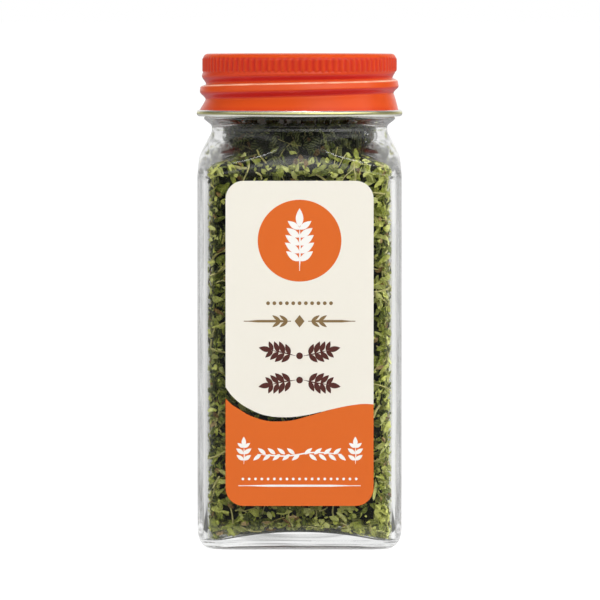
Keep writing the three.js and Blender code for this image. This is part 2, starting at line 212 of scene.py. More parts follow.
def heel_rows():
    """Rows of a quarter ellipse, close together where the glass bends most."""
    rows = []
    heights = [0, 0.02, 0.08, 0.2, 0.35, *np.linspace(0.5, 3.0, 24), 3.3, 3.6, 4.0, HEEL_HEIGHT]
    for angle in np.arccos(1 - np.array(heights) / HEEL_HEIGHT):
        inset = HEEL_INSET * (1 - math.sin(angle))
        corner = BODY_CORNER - (BODY_CORNER - FOOT_CORNER) * inset / HEEL_INSET
        rows.append((HEEL_HEIGHT * (1 - math.cos(angle)), HALF - inset, corner, NO_LIMIT))
    return rows


def leaning_half(height):
    """The panels lean in a little under the shoulder, and set no limit where the neck is round."""
    return HALF - 0.03 * max(height - LEAN_FROM, 0) ** 1.6 if height < LEAN_UNTIL else NO_LIMIT


FOOT = HALF - HEEL_INSET
PUSH_UP = [(PUSH_UP_HEIGHT, 1.0), (PUSH_UP_HEIGHT, 9.0), (1.4, 11.4), (0.8, 13.6), (0.2, 15.2), (0, 16.2)]
SHOULDER = [
    (80.6, 41), (82.6, 34.4), (84.6, 29.2), (86.8, 25.2), (88.35, 23.2), (89.85, 21.75), (91.95, 20.3),
]
BEAD = [(93.3, NECK), (94.1, NECK), (94.7, 20.2), (95.3, 21.0), (95.8, 21.45), (96.15, 21.35), (96.6, 20.5)]
LIP = [(RIM - 0.8, FINISH), (RIM - 0.3, FINISH - 0.2), (RIM - 0.03, FINISH - 0.6), (RIM, FINISH - 1.0)]
INNER_LIP = [(RIM, BORE + 0.7), (RIM - 0.1, BORE + 0.3), (RIM - 0.5, BORE + 0.02), (RIM - 1.2, BORE)]

shoulder_line = smooth_curve([*SHOULDER, (92.9, 19.8), *BEAD, (97.1, FINISH)], 8)
outer_rows = np.array([
    (PUSH_UP_HEIGHT, 0, 1, 0),
    *square_rows(smooth_curve(PUSH_UP, 4), FOOT_CORNER),
    *heel_rows(),
    *square_rows([(z, HALF) for z in np.linspace(6, 78, 15)], BODY_CORNER),
    *[(z, leaning_half(z), BODY_CORNER, radius) for z, radius in shoulder_line],
    *round_rows([(z, FINISH) for z in np.linspace(97.4, 107.6, 48)]),
    *round_rows(smooth_curve(LIP, 3)),
])

INNER_HALF = HALF - WALL
INNER_SHOULDER = [
    (81.0, INNER_HALF, INNER_CORNER), (82.3, INNER_HALF, INNER_CORNER), (83.5, 20.85, 3.4), (84.6, 20.6, 4.8),
    (85.6, 20.25, 7.4), (86.6, 19.8, 10.8), (87.7, 19.25, 13.6), (88.8, 18.7, 15.5), (90.0, 18.15, 16.7),
    (91.3, 17.7, 17.25), (92.5, BORE, BORE),
]
FLOOR_CENTRE = 6.1
FLOOR_FALL = 190.0
FLOOR_FILLET = 0.8
FLOOR_SHARES = np.concatenate([1 - np.linspace(0, 0.36, 14) ** 2, np.linspace(0.84, 0.04, 20)])
inner_rows = np.array([
    *round_rows(smooth_curve(INNER_LIP, 3)),
    *square_rows([(z, BORE) for z in np.linspace(106.5, 93.0, 12)], BORE),
    *[(*row, NO_LIMIT) for row in smooth_curve(INNER_SHOULDER[::-1], 6)],
    *square_rows([(z, INNER_HALF) for z in np.linspace(74, 11, 26)], INNER_CORNER),
    *square_rows([(FLOOR_CENTRE, INNER_HALF * share) for share in FLOOR_SHARES], INNER_CORNER),
    (FLOOR_CENTRE, 0, 1, 0),
])
print("jar rows:", len(outer_rows), "outside and", len(inner_rows), "inside")


# %% Build the jar
THREAD_PITCH = 3.175
CAP_THREAD_AT_ZERO = 103.85 + THREAD_PITCH / 2
GLASS_THREAD_AT_ZERO = CAP_THREAD_AT_ZERO + THREAD_PITCH / 2
GLASS_THREAD_END = (106.6 - GLASS_THREAD_AT_ZERO) / THREAD_PITCH
GLASS_THREAD_START = GLASS_THREAD_END - 1.6
THREAD_HALF_WIDTH = 1.0
THREAD_RELIEF = 0.88
THREAD_FADE = 0.08
FINISH_LOW, FINISH_HIGH = 97.3, 107.8
# Lines that the mould left round the heel: height, width and relief.
MOULD_SEAMS = [(1.05, 0.22, 0.13), (1.9, 0.22, 0.08)]
RIPPLE = 0.06


def glass_thread(angles, heights):
    """From 0 to 1, how much of the right-hand thread's rounded section stands at each height and angle."""
    relief = np.zeros(np.broadcast(heights, angles).shape)
    for whole in range(math.floor(GLASS_THREAD_START) - 1, math.ceil(GLASS_THREAD_END) + 1):
        turns = np.mod(angles, FULL_TURN) / FULL_TURN + whole
        line = GLASS_THREAD_AT_ZERO + THREAD_PITCH * turns
        off = np.clip(np.abs(heights - line) / THREAD_HALF_WIDTH, 0, 1)
        begun = np.clip((turns - GLASS_THREAD_START) / THREAD_FADE, 0, 1)
        not_ended = np.clip((GLASS_THREAD_END - turns) / THREAD_FADE, 0, 1)
        relief = np.maximum(relief, (1 + np.cos(math.pi * off)) / 2 * (begun * not_ended))
    return relief


def rows_to_reach(rows, angles):
    """How far each row reaches at each angle, and how high it is there."""
    height, half, corner, limit = (rows[:, [column]] for column in range(4))
    reach = soft_smaller(square_reach(angles[None, :], half, np.minimum(corner, half)), limit)
    reach[half[:, 0] == 0] = 0
    return reach, np.broadcast_to(height, reach.shape).copy()


jar_angles = panel_angles()
outside, outside_height = rows_to_reach(outer_rows, jar_angles)
on_finish = (outside_height > FINISH_LOW) & (outside_height < FINISH_HIGH)
outside = outside + THREAD_RELIEF * glass_thread(jar_angles[None, :], outside_height) * on_finish
seam_waver = 0.08 * np.sin(3 * jar_angles + 0.6) + 0.06 * np.sin(7 * jar_angles + 2)
seam_strength = 1 + 0.35 * np.sin(5 * jar_angles + 1)
for seam_height, seam_width, seam_relief in MOULD_SEAMS:
    from_seam = (outside_height - seam_height - seam_waver) / seam_width
    mould_seam = np.exp(-(from_seam**2)) * (outside > FOOT + 0.3)
    outside = outside + seam_relief * seam_strength * mould_seam

inside, inside_height = rows_to_reach(inner_rows, jar_angles)


def floor_height(reach, share):
    """The domed floor, which turns up into the wall through a fillet."""
    into_fillet = np.clip((share * INNER_HALF - INNER_HALF + FLOOR_FILLET) / FLOOR_FILLET, 0, 1)
    return FLOOR_CENTRE - reach**2 / FLOOR_FALL + FLOOR_FILLET * (1 - np.sqrt(1 - into_fillet**2))


floor_rows = np.array([*FLOOR_SHARES, 0])
floor_start = len(inner_rows) - len(floor_rows)
inside_height[floor_start:] = floor_height(inside[floor_start:], floor_rows[:, None])
ripple = np.sin(2 * jar_angles[None, :] + 0.17 * inside_height + 0.4) + 0.7 * np.sin(0.29 * inside_height + 2)
ripple = ripple + 0.4 * np.sin(4 * jar_angles[None, :] - 0.11 * inside_height)
on_wall = np.clip((inside_height - 8) / 10, 0, 1) * np.clip((80 - inside_height) / 10, 0, 1)
inside = inside + RIPPLE * (2.1 - ripple) * on_wall

jar_heights = np.vstack([outside_height, inside_height])
jar = ring_body("jar_glass", np.vstack([outside, inside]), jar_heights, jar_angles)
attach(jar, "jar")
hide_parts("glass_jar")
print("jar faces:", len(jar.data.polygons))

# %% [markdown]
# ## The crushed leaves
#
# Curry leaves are thin, and when they are dried and rubbed they break into angular flakes a few millimetres
# across, with some curled strips, bits of stalk and a few brown pieces. A texture on a block couldn't show
# their overlaps and the dark gaps between them. So a core stands for the mass inside, coloured near black as
# painted shade, and thousands of real flakes lie against the glass in front of it: each one is a thin bent
# plate with its own torn outline.

# %% Where the leaves may be
LEAF_TOP = 98.2
LEAVES_FROM, LEAVES_TO = 4.0, 97.6
MID_HEIGHT = 30.0
CORE_INSET = 3.0
CORE_FLOOR, CORE_TOP = 6.6, 97.2
random = np.random.default_rng(11)


def inner_reach(angle, height):
    """How far the inside of the jar reaches at an angle and a height."""
    wall = inner_rows[:floor_start][::-1]
    half = np.interp(height, wall[:, 0], wall[:, 1])
    return square_reach(angle, half, np.minimum(np.interp(height, wall[:, 0], wall[:, 2]), half))


def floor_below(angle, reach):
    """The height of the jar's floor under a point."""
    return floor_height(reach, reach / inner_reach(angle, MID_HEIGHT + 0 * angle))


core_heights = np.concatenate([np.linspace(8.5, 76, 28), np.linspace(77, 97, 22)])
core_reach = np.array([inner_reach(jar_angles, z + 0 * jar_angles) for z in core_heights]) - CORE_INSET
core_height = np.repeat(core_heights[:, None], len(jar_angles), axis=1)
core_floor = np.array([share * core_reach[0] for share in (0, 0.25, 0.5, 0.75, 0.93)])
core_top = np.array([share * core_reach[-1] for share in (0.6, 0)])
core = ring_body(
    "leaf_core",
    np.vstack([core_floor, core_reach, core_top]),
    np.vstack([CORE_FLOOR + 0 * core_floor, core_height, CORE_TOP + 0 * core_top]),
    jar_angles,
)
print("leaf core faces:", len(core.data.polygons))


# %% Places for flakes, spread evenly over the inside of the glass
def wall_places(count, depth_low, depth_high):
    """Random places near the inner wall, as points, outward normals, and a direction along the wall."""
    heights = np.linspace(LEAVES_FROM, LEAVES_TO, 260)
    angles = np.linspace(0, FULL_TURN, 240, endpoint=False)
    reach = np.array([inner_reach(angles, z + 0 * angles) for z in heights])
    grid = np.stack([reach * np.cos(angles), reach * np.sin(angles), heights[:, None] + 0 * reach], axis=2)
    along = np.roll(grid, -1, axis=1)[:-1] - grid[:-1]
    up = grid[1:] - grid[:-1]
    normal = np.cross(along, up)
    area = np.linalg.norm(normal, axis=2)
    share = np.cumsum(area.ravel()) / area.sum()
    chosen = np.searchsorted(share, (np.arange(count) + random.random(count)) / count)
    row, step = np.unravel_index(np.minimum(chosen, share.size - 1), area.shape)
    sideways = along[row, step] * random.random((count, 1))
    upward = up[row, step] * random.random((count, 1))
    spot = grid[:-1][row, step] + sideways + upward
    outward = normal[row, step] / area[row, step][:, None]
    side = along[row, step] / np.linalg.norm(along[row, step], axis=1)[:, None]
    depth = random.uniform(depth_low, depth_high, (count, 1))
    return spot - outward * depth, outward, side


def flat_places(count, level, height_of, facing):
    """Random places on the floor or on top of the leaves, as wide as the jar is inside at a level."""
    angle = random.uniform(0, FULL_TURN, count)
    reach = inner_reach(angle, level + 0 * angle) * np.sqrt(random.random(count)) * 0.97
    height = height_of(angle, reach) + facing * random.uniform(-1.6, -0.3, count)
    spot = np.stack([reach * np.cos(angle), reach * np.sin(angle), height], axis=1)
    return spot, np.tile([0.0, 0, facing], (count, 1)), np.tile([1.0, 0, 0], (count, 1))


def all_places(count, depth_low, depth_high):
    """Places on the wall, the floor and the top, in proportion to their areas."""
    parts = [
        wall_places(int(count * 0.84), depth_low, depth_high),
        flat_places(int(count * 0.11), 8.0, floor_below, -1),
        flat_places(int(count * 0.05), 97.0, lambda angle, reach: LEAF_TOP + 0 * reach, 1),
    ]
    return tuple(np.concatenate(group) for group in zip(*parts))


# %% Torn outlines, bent into flakes
OUTLINE_POINTS = 8
TEARS = 5
GLASS_CLEARANCE = 0.12


def torn_outlines(count, long, wide):
    """Angular outlines: each is the inside of a few straight tears at random angles, a little ragged."""
    even_spokes = np.arange(OUTLINE_POINTS) * FULL_TURN / OUTLINE_POINTS
    spoke = even_spokes + random.uniform(-0.18, 0.18, (count, OUTLINE_POINTS))
    tear = np.arange(TEARS) * FULL_TURN / TEARS + random.uniform(-0.55, 0.55, (count, TEARS))
    distance = random.uniform(0.55, 1.0, (count, TEARS))
    facing = np.cos(spoke[:, :, None] - tear[:, None, :])
    reach = np.min(np.where(facing > 0.2, distance[:, None, :] / np.maximum(facing, 0.2), 1.25), axis=2)
    reach = np.minimum(reach, 1.15) * random.uniform(0.86, 1.08, reach.shape)
    x = reach * np.cos(spoke) * long[:, None] / 2
    y = reach * np.sin(spoke) * wide[:, None] / 2
    middle = np.zeros((count, 1))
    return np.hstack([middle, x]), np.hstack([middle, y])


def unit(vectors):
    """The same directions, with a length of one."""
    return vectors / np.linalg.norm(vectors, axis=-1, keepdims=True)


def placed(places, x, y, z, tilt):
    """Points given in a flake's own directions, turned at random and set at its place."""
    spot, outward, side = places
    outward = unit(outward + random.normal(0, tilt, outward.shape))
    turn = random.uniform(0, FULL_TURN, (len(spot), 1))
    other = np.cross(outward, side)
    first = unit(side * np.cos(turn) + other * np.sin(turn))
    first = unit(first - outward * np.sum(first * outward, axis=1, keepdims=True))
    second = np.cross(outward, first)
    axes = (first, second, outward)
    return spot[:, None, :] + sum(part[:, :, None] * axis[:, None, :] for part, axis in zip((x, y, z), axes))


def kept_in_jar(points, clearance):
    """Points moved in wherever they would touch the glass, as flakes pressed against it are."""
    reach = np.hypot(points[..., 0], points[..., 1])
    angle = np.arctan2(points[..., 1], points[..., 0])
    allowed = inner_reach(angle, np.clip(points[..., 2], 8, 97.9)) - clearance
    scale = np.minimum(1, allowed / np.maximum(reach, 1e-6))
    height = np.minimum(points[..., 2], LEAF_TOP - clearance)
    height = np.maximum(height, floor_below(angle, reach * scale) + clearance)
    return np.stack([points[..., 0] * scale, points[..., 1] * scale, height], axis=-1)


def painted_light_on_tone(spots):
    """Painted light and shade in the tone: a painted shadow under the cap, and painted light at the shoulder,
    near the floor and to the right.
    """
    # Painted light: paler towards the right, where the key lamp stands.
    across = 0.22 * np.clip(spots[:, 0] / 20, -0.3, 1)
    painted_shoulder_light = 0.3 * np.exp(-(((spots[:, 2] - 85.5) / 2) ** 2))
    painted_cap_shadow = 0.95 * np.clip((spots[:, 2] - 85) / 6, 0, 1)
    painted_floor_light = 0.2 * np.clip((16 - spots[:, 2]) / 8, 0, 1)
    return 0.07 + across + painted_floor_light + painted_shoulder_light - painted_cap_shadow


def leaf_piece(name, faces_of_one, points, local, tone):
    """One mesh of many flakes, with a tone for each flake and coordinates along it for the veins."""
    count, per_flake = points.shape[:2]
    faces = (np.array(faces_of_one)[None] + np.arange(count)[:, None, None] * per_flake).reshape(-1, 3)
    piece = add_mesh(name, points.reshape(-1, 3), faces.tolist(), smooth=False)
    mesh = piece.data
    write_on_points(piece, "flake_tone_light_and_shade", np.repeat(tone, per_flake))
    corner_points = np.zeros(len(mesh.loops), int)
    mesh.loops.foreach_get("vertex_index", corner_points)
    local_at_corners = local.reshape(-1, 2)[corner_points].astype(np.float32)
    mesh.uv_layers.new(name="along_leaf").data.foreach_set("uv", local_at_corners.ravel())
    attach(piece, "jar")
    print(name, count, "bits,", len(mesh.polygons), "faces")
    return piece


RING = [(1 + k, 1 + (k + 1) % OUTLINE_POINTS) for k in range(OUTLINE_POINTS)]
UNDER = OUTLINE_POINTS + 1
FLAKE_FACES = [(0, a, b) for a, b in RING]
FLAKE_FACES += [(UNDER, UNDER + b, UNDER + a) for a, b in RING]
FLAKE_FACES += [(a, UNDER + a, UNDER + b) for a, b in RING] + [(a, UNDER + b, b) for a, b in RING]


def flakes(name, count, depths, long, wide, bend, tilt, tones, thickness=0.15):
    """A piece made of flakes. bend is the range of curvature across a flake, one over millimetres."""
    places = all_places(count, *depths)
    count = len(places[0])
    x, y = torn_outlines(count, random.uniform(*long, count), random.uniform(*wide, count))
    curve = random.uniform(*bend, (count, 1)) * random.choice([-1, 1, 1], (count, 1))
    curled_y = np.sin(y * curve) / curve
    z = -(1 - np.cos(y * curve)) / curve - random.uniform(-0.02, 0.05, (count, 1)) * x**2
    z = z + random.normal(0, 0.09, z.shape)
    both = placed(
        places,
        np.hstack([x, x * 0.97]),
        np.hstack([curled_y, curled_y * 0.97]),
        np.hstack([z, z - thickness]),
        tilt,
    )
    upper = kept_in_jar(both[:, :UNDER], GLASS_CLEARANCE)
    lower = kept_in_jar(both[:, UNDER:], GLASS_CLEARANCE + thickness)
    local = np.tile(np.stack([x, y], axis=2) + random.uniform(-50, 50, (count, 1, 2)), (1, 2, 1))
    tone = np.clip(random.normal(*tones, count) + painted_light_on_tone(places[0]), 0, 1)
    return leaf_piece(name, FLAKE_FACES, np.concatenate([upper, lower], axis=1), local, tone)


# %% Blades, curls and brown bits
green = flakes("leaf_flakes_green", 5900, (0.3, 2.9), (1.7, 4.4), (0.8, 2.1), (0.1, 0.8), 0.42, (0.43, 0.33))
pale = flakes("leaf_flakes_pale", 1800, (0.1, 1.6), (1.3, 3.8), (0.7, 2.0), (0.1, 0.7), 0.36, (0.52, 0.31))
brown = flakes("leaf_flakes_brown", 700, (0.1, 1.4), (1.0, 3.0), (0.7, 1.7), (0.05, 0.4), 0.3, (0.45, 0.25))
curls = flakes("leaf_curls", 900, (0.4, 1.6), (2.4, 5.5), (0.9, 1.7), (0.9, 1.8), 0.3, (0.52, 0.28))
crumbs = flakes(
    "leaf_crumbs", 4400, (0.05, 1.2), (0.6, 1.8), (0.45, 1.1), (0.1, 0.8), 0.45, (0.46, 0.32), thickness=0.1
)

# %% Bits of stalk
STALK_SIDES = 6
STALK_RINGS = 4


def stalks(name, count, depths, long, thick, tilt, tones):
    """Short bent sticks: rings along a line, closed at both ends."""
    places = all_places(count, *depths)
    count = len(places[0])
    length = random.uniform(*long, (count, 1))
    radius = random.uniform(*thick, (count, 1)) / 2
    along = np.linspace(-0.5, 0.5, STALK_RINGS).repeat(STALK_SIDES)[None, :]
    round_angle = np.tile(np.arange(STALK_SIDES) * FULL_TURN / STALK_SIDES, STALK_RINGS)[None, :]
    bow = random.uniform(-0.5, 0.5, (count, 1)) * (4 * along**2 - 1)
    x = np.hstack([along * length, -0.52 * length, 0.52 * length])
    y = np.hstack([radius * np.cos(round_angle) + bow, 0 * length, 0 * length])
    z = np.hstack([radius * np.sin(round_angle) + 0 * bow, 0 * length, 0 * length])
    points = placed(places, x, y, z, tilt)
    middle = points.mean(axis=1, keepdims=True)
    points = points + kept_in_jar(middle, 0.9) - middle
    faces = []
    for ring in range(STALK_RINGS - 1):
        for side in range(STALK_SIDES):
            a, b = ring * STALK_SIDES + side, ring * STALK_SIDES + (side + 1) % STALK_SIDES
            faces += [(a, b, b + STALK_SIDES), (a, b + STALK_SIDES, a + STALK_SIDES)]
    first = STALK_RINGS * STALK_SIDES
    last = first + 1
    top_ring = first - STALK_SIDES
    for side in range(STALK_SIDES):
        after = (side + 1) % STALK_SIDES
        faces += [(first, after, side), (last, top_ring + side, top_ring + after)]
    local = np.stack([x, y], axis=2) + random.uniform(-50, 50, (count, 1, 2))
    tone = np.clip(random.normal(*tones, count) + painted_light_on_tone(places[0]), 0, 1)
    return leaf_piece(name, faces, kept_in_jar(points, GLASS_CLEARANCE), local, tone)


straw = stalks("leaf_stalks", 1100, (0.2, 1.3), (1.8, 6.0), (0.16, 0.42), 0.14, (0.55, 0.28))
leaf_pieces = [core, green, pale, brown, curls, crumbs, straw]
for piece in leaf_pieces:
    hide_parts("leaf_fill")
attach(core, "jar")

# %% [markdown]
# ## The label
#
# The label is a clear film, printed cream above and orange below, and stuck on the front panel. Between the
# two prints a thin wave is left clear, and the leaves show through it. A picture texture would be the usual
# way to print it, but a print that is its own thin shape stays crisp from close up. So each print is a flat
# plate cut from its outline, and the ornaments are thinner plates laid on it. The printing is generic: an
# oval with a leaf sprig, ruled lines with dots, and rows of small leaves.

# %% Flat printed shapes on the front panel
LABEL_BACK = -(HALF + 0.03)
FILM = 0.09
INK = 0.018
# Plates of one piece lie at slightly different heights, so that none shares a plane where two cross.
LIFT_STEP = 0.001
LIFT_STEPS = 18


def printed(name, outlines, front_layer, back=None):
    """Closed outlines of (across, up) in millimetres, as plates that face the front."""
    front = LABEL_BACK - FILM - front_layer * INK
    back = front + INK if back is None else back
    points, faces = [], []
    for number, outline in enumerate(outlines):
        outline = np.array(outline)
        lift = LIFT_STEP * (number % LIFT_STEPS)
        nearest = np.roll(outline, -1, axis=0)
        if np.sum(outline[:, 0] * nearest[:, 1] - nearest[:, 0] * outline[:, 1]) < 0:
            outline = outline[::-1]
        count, start = len(outline), len(points)
        for depth in (front - lift, back):
            points += [(x, depth, z) for x, z in outline]
        faces.append([start + k for k in range(count)])
        faces.append([start + count + k for k in reversed(range(count))])
        for k in range(count):
            after = (k + 1) % count
            faces.append([start + k, start + count + k, start + count + after, start + after])
    piece = add_mesh(name, points, faces, smooth=False)
    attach(piece, "jar")
    return piece


def arc(centre, radius, start, end, steps=12):
    """Points round part of a circle, with angles in quarter turns."""
    turn = np.linspace(start, end, steps) * math.pi / 2
    return np.stack([centre[0] + radius * np.cos(turn), centre[1] + radius * np.sin(turn)], axis=1)


# %% The two prints
label_low, label_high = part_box("front_label")
LEFT, RIGHT = label_low.x / MM, label_high.x / MM
LOW, TOP = label_low.z / MM, label_high.z / MM
CORNER = 4.0
PRINTS_MEET = (6.7, 31.3)
CREAM_EDGE = [
    (LEFT, 36.3), (-15.2, 34.6), (-13.4, 32.9), (-11.2, 31.5), (-8.8, 30.4), (-6.5, 29.85), (-4.2, 29.65),
    (-1.5, 29.7), (2.0, 30.2), PRINTS_MEET,
]
ORANGE_EDGE = [
    (LEFT, 33.8), (-15.0, 32.4), (-13.4, 31.4), (-11.6, 30.3), (-9.7, 29.5), (-7.8, 28.95), (-5.7, 28.7),
    (-1.9, 28.9), (2.0, 29.9), PRINTS_MEET,
]
SHARED_EDGE = [PRINTS_MEET, (9.8, 32.0), (12.9, 32.5), (14.8, 32.6), (RIGHT, 32.5)]
cream_wave = np.vstack([smooth_curve(CREAM_EDGE, 6), smooth_curve(SHARED_EDGE, 6)[1:]])
orange_wave = np.vstack([smooth_curve(ORANGE_EDGE, 6), smooth_curve(SHARED_EDGE, 6)[1:]])
top_corners = [
    arc((RIGHT - CORNER, TOP - CORNER), CORNER, 0, 1), arc((LEFT + CORNER, TOP - CORNER), CORNER, 1, 2),
]
low_corners = [
    arc((RIGHT - CORNER, LOW + CORNER), CORNER, 0, -1), arc((LEFT + CORNER, LOW + CORNER), CORNER, -1, -2),
]
cream = printed("label_cream", [np.vstack([cream_wave, *top_corners])], 0, back=LABEL_BACK)
orange = printed("label_orange", [np.vstack([orange_wave, *low_corners])], 0, back=LABEL_BACK)
for piece in (cream, orange):
    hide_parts("front_label")
print("label, mm:", round(RIGHT - LEFT, 2), "x", round(TOP - LOW, 2))


# %% Ornaments
DOTS_Z = 55.0
RULE_Z = 51.0
DARK_SPRIGS_Z = (43.3, 37.9)
GARLAND_Z = 21.4
LOWER_DOTS_Z = 15.9
LOWER_RULE_Z = 14.4


def oval(centre, half_width, half_height, steps=72):
    """Points round an oval."""
    turn = np.linspace(0, FULL_TURN, steps, endpoint=False)
    return np.stack([centre[0] + half_width * np.cos(turn), centre[1] + half_height * np.sin(turn)], axis=1)


def leaf(base, length, width, angle, steps=10):
    """A pointed leaf from its base point, leaning by an angle from upright."""
    share = np.linspace(0, 1, steps)
    half = width / 2 * np.sin(math.pi * share**0.85) ** 0.9
    right = np.stack([half, share * length], axis=1)
    left = np.stack([-half, share * length], axis=1)[-2:0:-1]
    outline = np.vstack([right, left])
    turn = np.array([[math.cos(angle), -math.sin(angle)], [math.sin(angle), math.cos(angle)]])
    return outline @ turn.T + base


def stroke(points, width):
    """A line of a given width along a few points, tapered at both ends."""
    line = smooth_curve(points, 6)
    direction = np.gradient(line, axis=0)
    normal = unit(np.stack([-direction[:, 1], direction[:, 0]], axis=1))
    from_start = np.arange(len(line))
    from_end = from_start[::-1]
    half = width / 2 * np.clip(np.minimum(from_start, from_end) / 3, 0.35, 1)[:, None]
    return np.vstack([line + normal * half, (line - normal * half)[::-1]])


def sprig(base, height, pairs, leaf_length, leaf_width, lean=0.0):
    """A pinnate sprig: a stem, pairs of leaves up it, and one at its tip."""
    turn = np.array([[math.cos(lean), -math.sin(lean)], [math.sin(lean), math.cos(lean)]])
    shapes = [stroke(np.array([(0, 0), (0.1, height * 0.5), (0, height)]) @ turn.T + base, leaf_width * 0.22)]
    for k in range(pairs):
        share = 0.22 + 0.7 * k / max(pairs - 1, 1)
        size = 1 - 0.45 * abs(share - 0.45)
        joint = np.array([0, height * share]) @ turn.T + base
        for side in (-1, 1):
            shapes.append(leaf(joint, leaf_length * size, leaf_width * size, lean - side * 0.95))
    shapes.append(leaf(np.array([0, height * 0.98]) @ turn.T + base, leaf_length, leaf_width, lean))
    return shapes


medallion = printed("label_oval", [oval((0.0, 68.9), 9.3, 9.1)], 1)
oval_sprig = printed("label_oval_sprig", sprig((0.0, 62.2), 10.0, 5, 4.1, 1.7), 2)

dots = [oval((x, DOTS_Z), 0.42, 0.42, 20) for x in np.linspace(-7.0, 7.0, 11)]
rules = [stroke([(side * x, RULE_Z) for x in (1.9, 6.5, 12.4)], 0.55) for side in (-1, 1)]
lozenge = [[(0, RULE_Z - 1.4), (1.1, RULE_Z), (0, RULE_Z + 1.4), (-1.1, RULE_Z)]]
rule_leaves = [
    leaf((side * start, RULE_Z), 2.3, 0.75, -side * (1.57 - tip))
    for side in (-1, 1) for start in (2.6, 4.2) for tip in (0.62, -0.62)
]
gold_marks = printed("label_gold_marks", dots + rules + lozenge + rule_leaves, 1)

dark_sprigs = []
for z, lean in zip(DARK_SPRIGS_Z, (1.35, 1.75)):
    for side in (-1, 1):
        dark_sprigs += sprig((side * 0.9, z), 5.6, 4, 2.9, 1.25, -side * lean)
dark_sprigs += [oval((0, z), 0.75, 0.75, 24) for z in DARK_SPRIGS_Z]
brown_sprigs = printed("label_brown_sprigs", dark_sprigs, 1)

white_marks = []
for side in (-1, 1):
    white_marks += sprig((side * 12.4, 19.2), 4.0, 3, 2.2, 1.0)
white_marks += [stroke([(-9.4, GARLAND_Z), (-3.1, 21.0), (3.1, 21.8), (9.4, GARLAND_Z)], 0.3)]
for number, x in enumerate(np.linspace(-8.6, 8.6, 17)):
    lean = (0.9 if number % 2 else 2.25) * (1 if x < 0.1 else -1)
    white_marks += [leaf((x, GARLAND_Z), 2.2, 0.85, lean)]
white_marks += [stroke([(x, LOWER_RULE_Z) for x in (-13.6, 0, 13.6)], 0.45)]
white_marks += [oval((x, LOWER_DOTS_Z), 0.3, 0.3, 16) for x in np.linspace(-12.6, 12.6, 19)]
white_print = printed("label_white_marks", white_marks, 1)
print("ornaments:", len(dark_sprigs) + len(white_marks) + len(dots), "shapes")

# %% [markdown]
# ## The cap
#
# The cap is thin tinplate, enamelled orange and pressed into shape: a flat top, a band of rounded ribs for
# grip, a thread rolled in from outside, so that the wall itself winds round the jar, and a flared skirt.
# Ribs and thread together rule out a lathe profile. So the wall is a grid, fine enough for the ribs, and
# the radius of each of its points is worked out: the plain profile, less the rolled thread, less the neck
# above the skirt, plus a rib. The inside follows at the thickness of the sheet, without the ribs.

# %% Cap sizes
CAP_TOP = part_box("screw_cap")[1].z / MM
CURL_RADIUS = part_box("screw_cap")[1].x / MM
CURL_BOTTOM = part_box("screw_cap")[0].z / MM
SHEET = 0.3
CAP_STEPS = 630
RIBS = 90
RIB_RELIEF = 0.25
RIB_LOW, RIB_HIGH = 106.45, 109.55
cap_angles = np.arange(CAP_STEPS) * FULL_TURN / CAP_STEPS
print("cap, mm:", round(2 * CURL_RADIUS, 2), "across, from", round(CURL_BOTTOM, 2), "to", round(CAP_TOP, 2))

WALL_TOP = 109.35
GROOVE_HIGH, GROOVE_LOW = 106.0, 102.4
SKIRT_END = 97.6
WALL_PROFILE = [
    (WALL_TOP, 21.62), (108.6, 21.62), (107.4, 21.62), (106.75, 21.62), (106.3, 21.66), (105.9, 21.8),
    (105.4, 21.93), (104.6, 22.0), (103.8, 22.12), (103.0, 22.26), (102.2, 22.34), (101.4, 22.36),
    (100.6, 22.36), (99.8, 22.36), (SKIRT_END, 22.36),
]
TOP_PROFILE = [
    (CAP_TOP, 20.35), (CAP_TOP - 0.03, 20.75), (CAP_TOP - 0.17, 21.12), (CAP_TOP - 0.42, 21.4),
    (109.65, 21.54),
]
top_edge = smooth_curve(TOP_PROFILE, 3)
wall_heights = np.concatenate([
    np.linspace(WALL_TOP, GROOVE_HIGH, 20, endpoint=False),
    np.linspace(GROOVE_HIGH, GROOVE_LOW, 54, endpoint=False),
    np.linspace(GROOVE_LOW, SKIRT_END, 22),
])
wall_curve = smooth_curve(WALL_PROFILE, 6)[::-1]
wall = np.stack([wall_heights, np.interp(wall_heights, wall_curve[:, 0], wall_curve[:, 1])], axis=1)
PANEL_DEPTH = 0.22
PANEL_STEP = [(CAP_TOP - 0.2, 17.6), (CAP_TOP - 0.12, 18.1), (CAP_TOP - 0.02, 18.6), (CAP_TOP, 19.2)]
panel = [(CAP_TOP - PANEL_DEPTH, radius) for radius in (0, 6, 12, 16.6)]
cap_rows = np.vstack([panel, PANEL_STEP, top_edge[:-1], wall])


# %% Build the cap
def rib_relief(angles, heights):
    """Rounded ribs, whose lower ends are round too."""
    across = (1 + np.cos(RIBS * angles)) / 2
    low = np.clip((heights - RIB_LOW + 0.35 * across) / 0.5, 0, 1)
    high = np.clip((RIB_HIGH - heights + 0.1 * across) / 0.55, 0, 1)
    return across * low * low * (3 - 2 * low) * high * high * (3 - 2 * high)


# The thread starts in the waist at the right, passes the back and the left, and runs out at the right again.
THREAD_START, THREAD_END = -1.06, 0.1
THREAD_TURNS = [THREAD_START, -1.0, -0.75, -0.5, -0.25, 0, THREAD_END]
THREAD_HEIGHTS = [101.3, 101.45, 102.6, 103.85, 104.62, 105.25, 105.45]
GROOVE_DEPTH = 1.15
GROOVE_BELOW_LINE = 0.4
UPPER_SLOPE_HEIGHT = 2.3
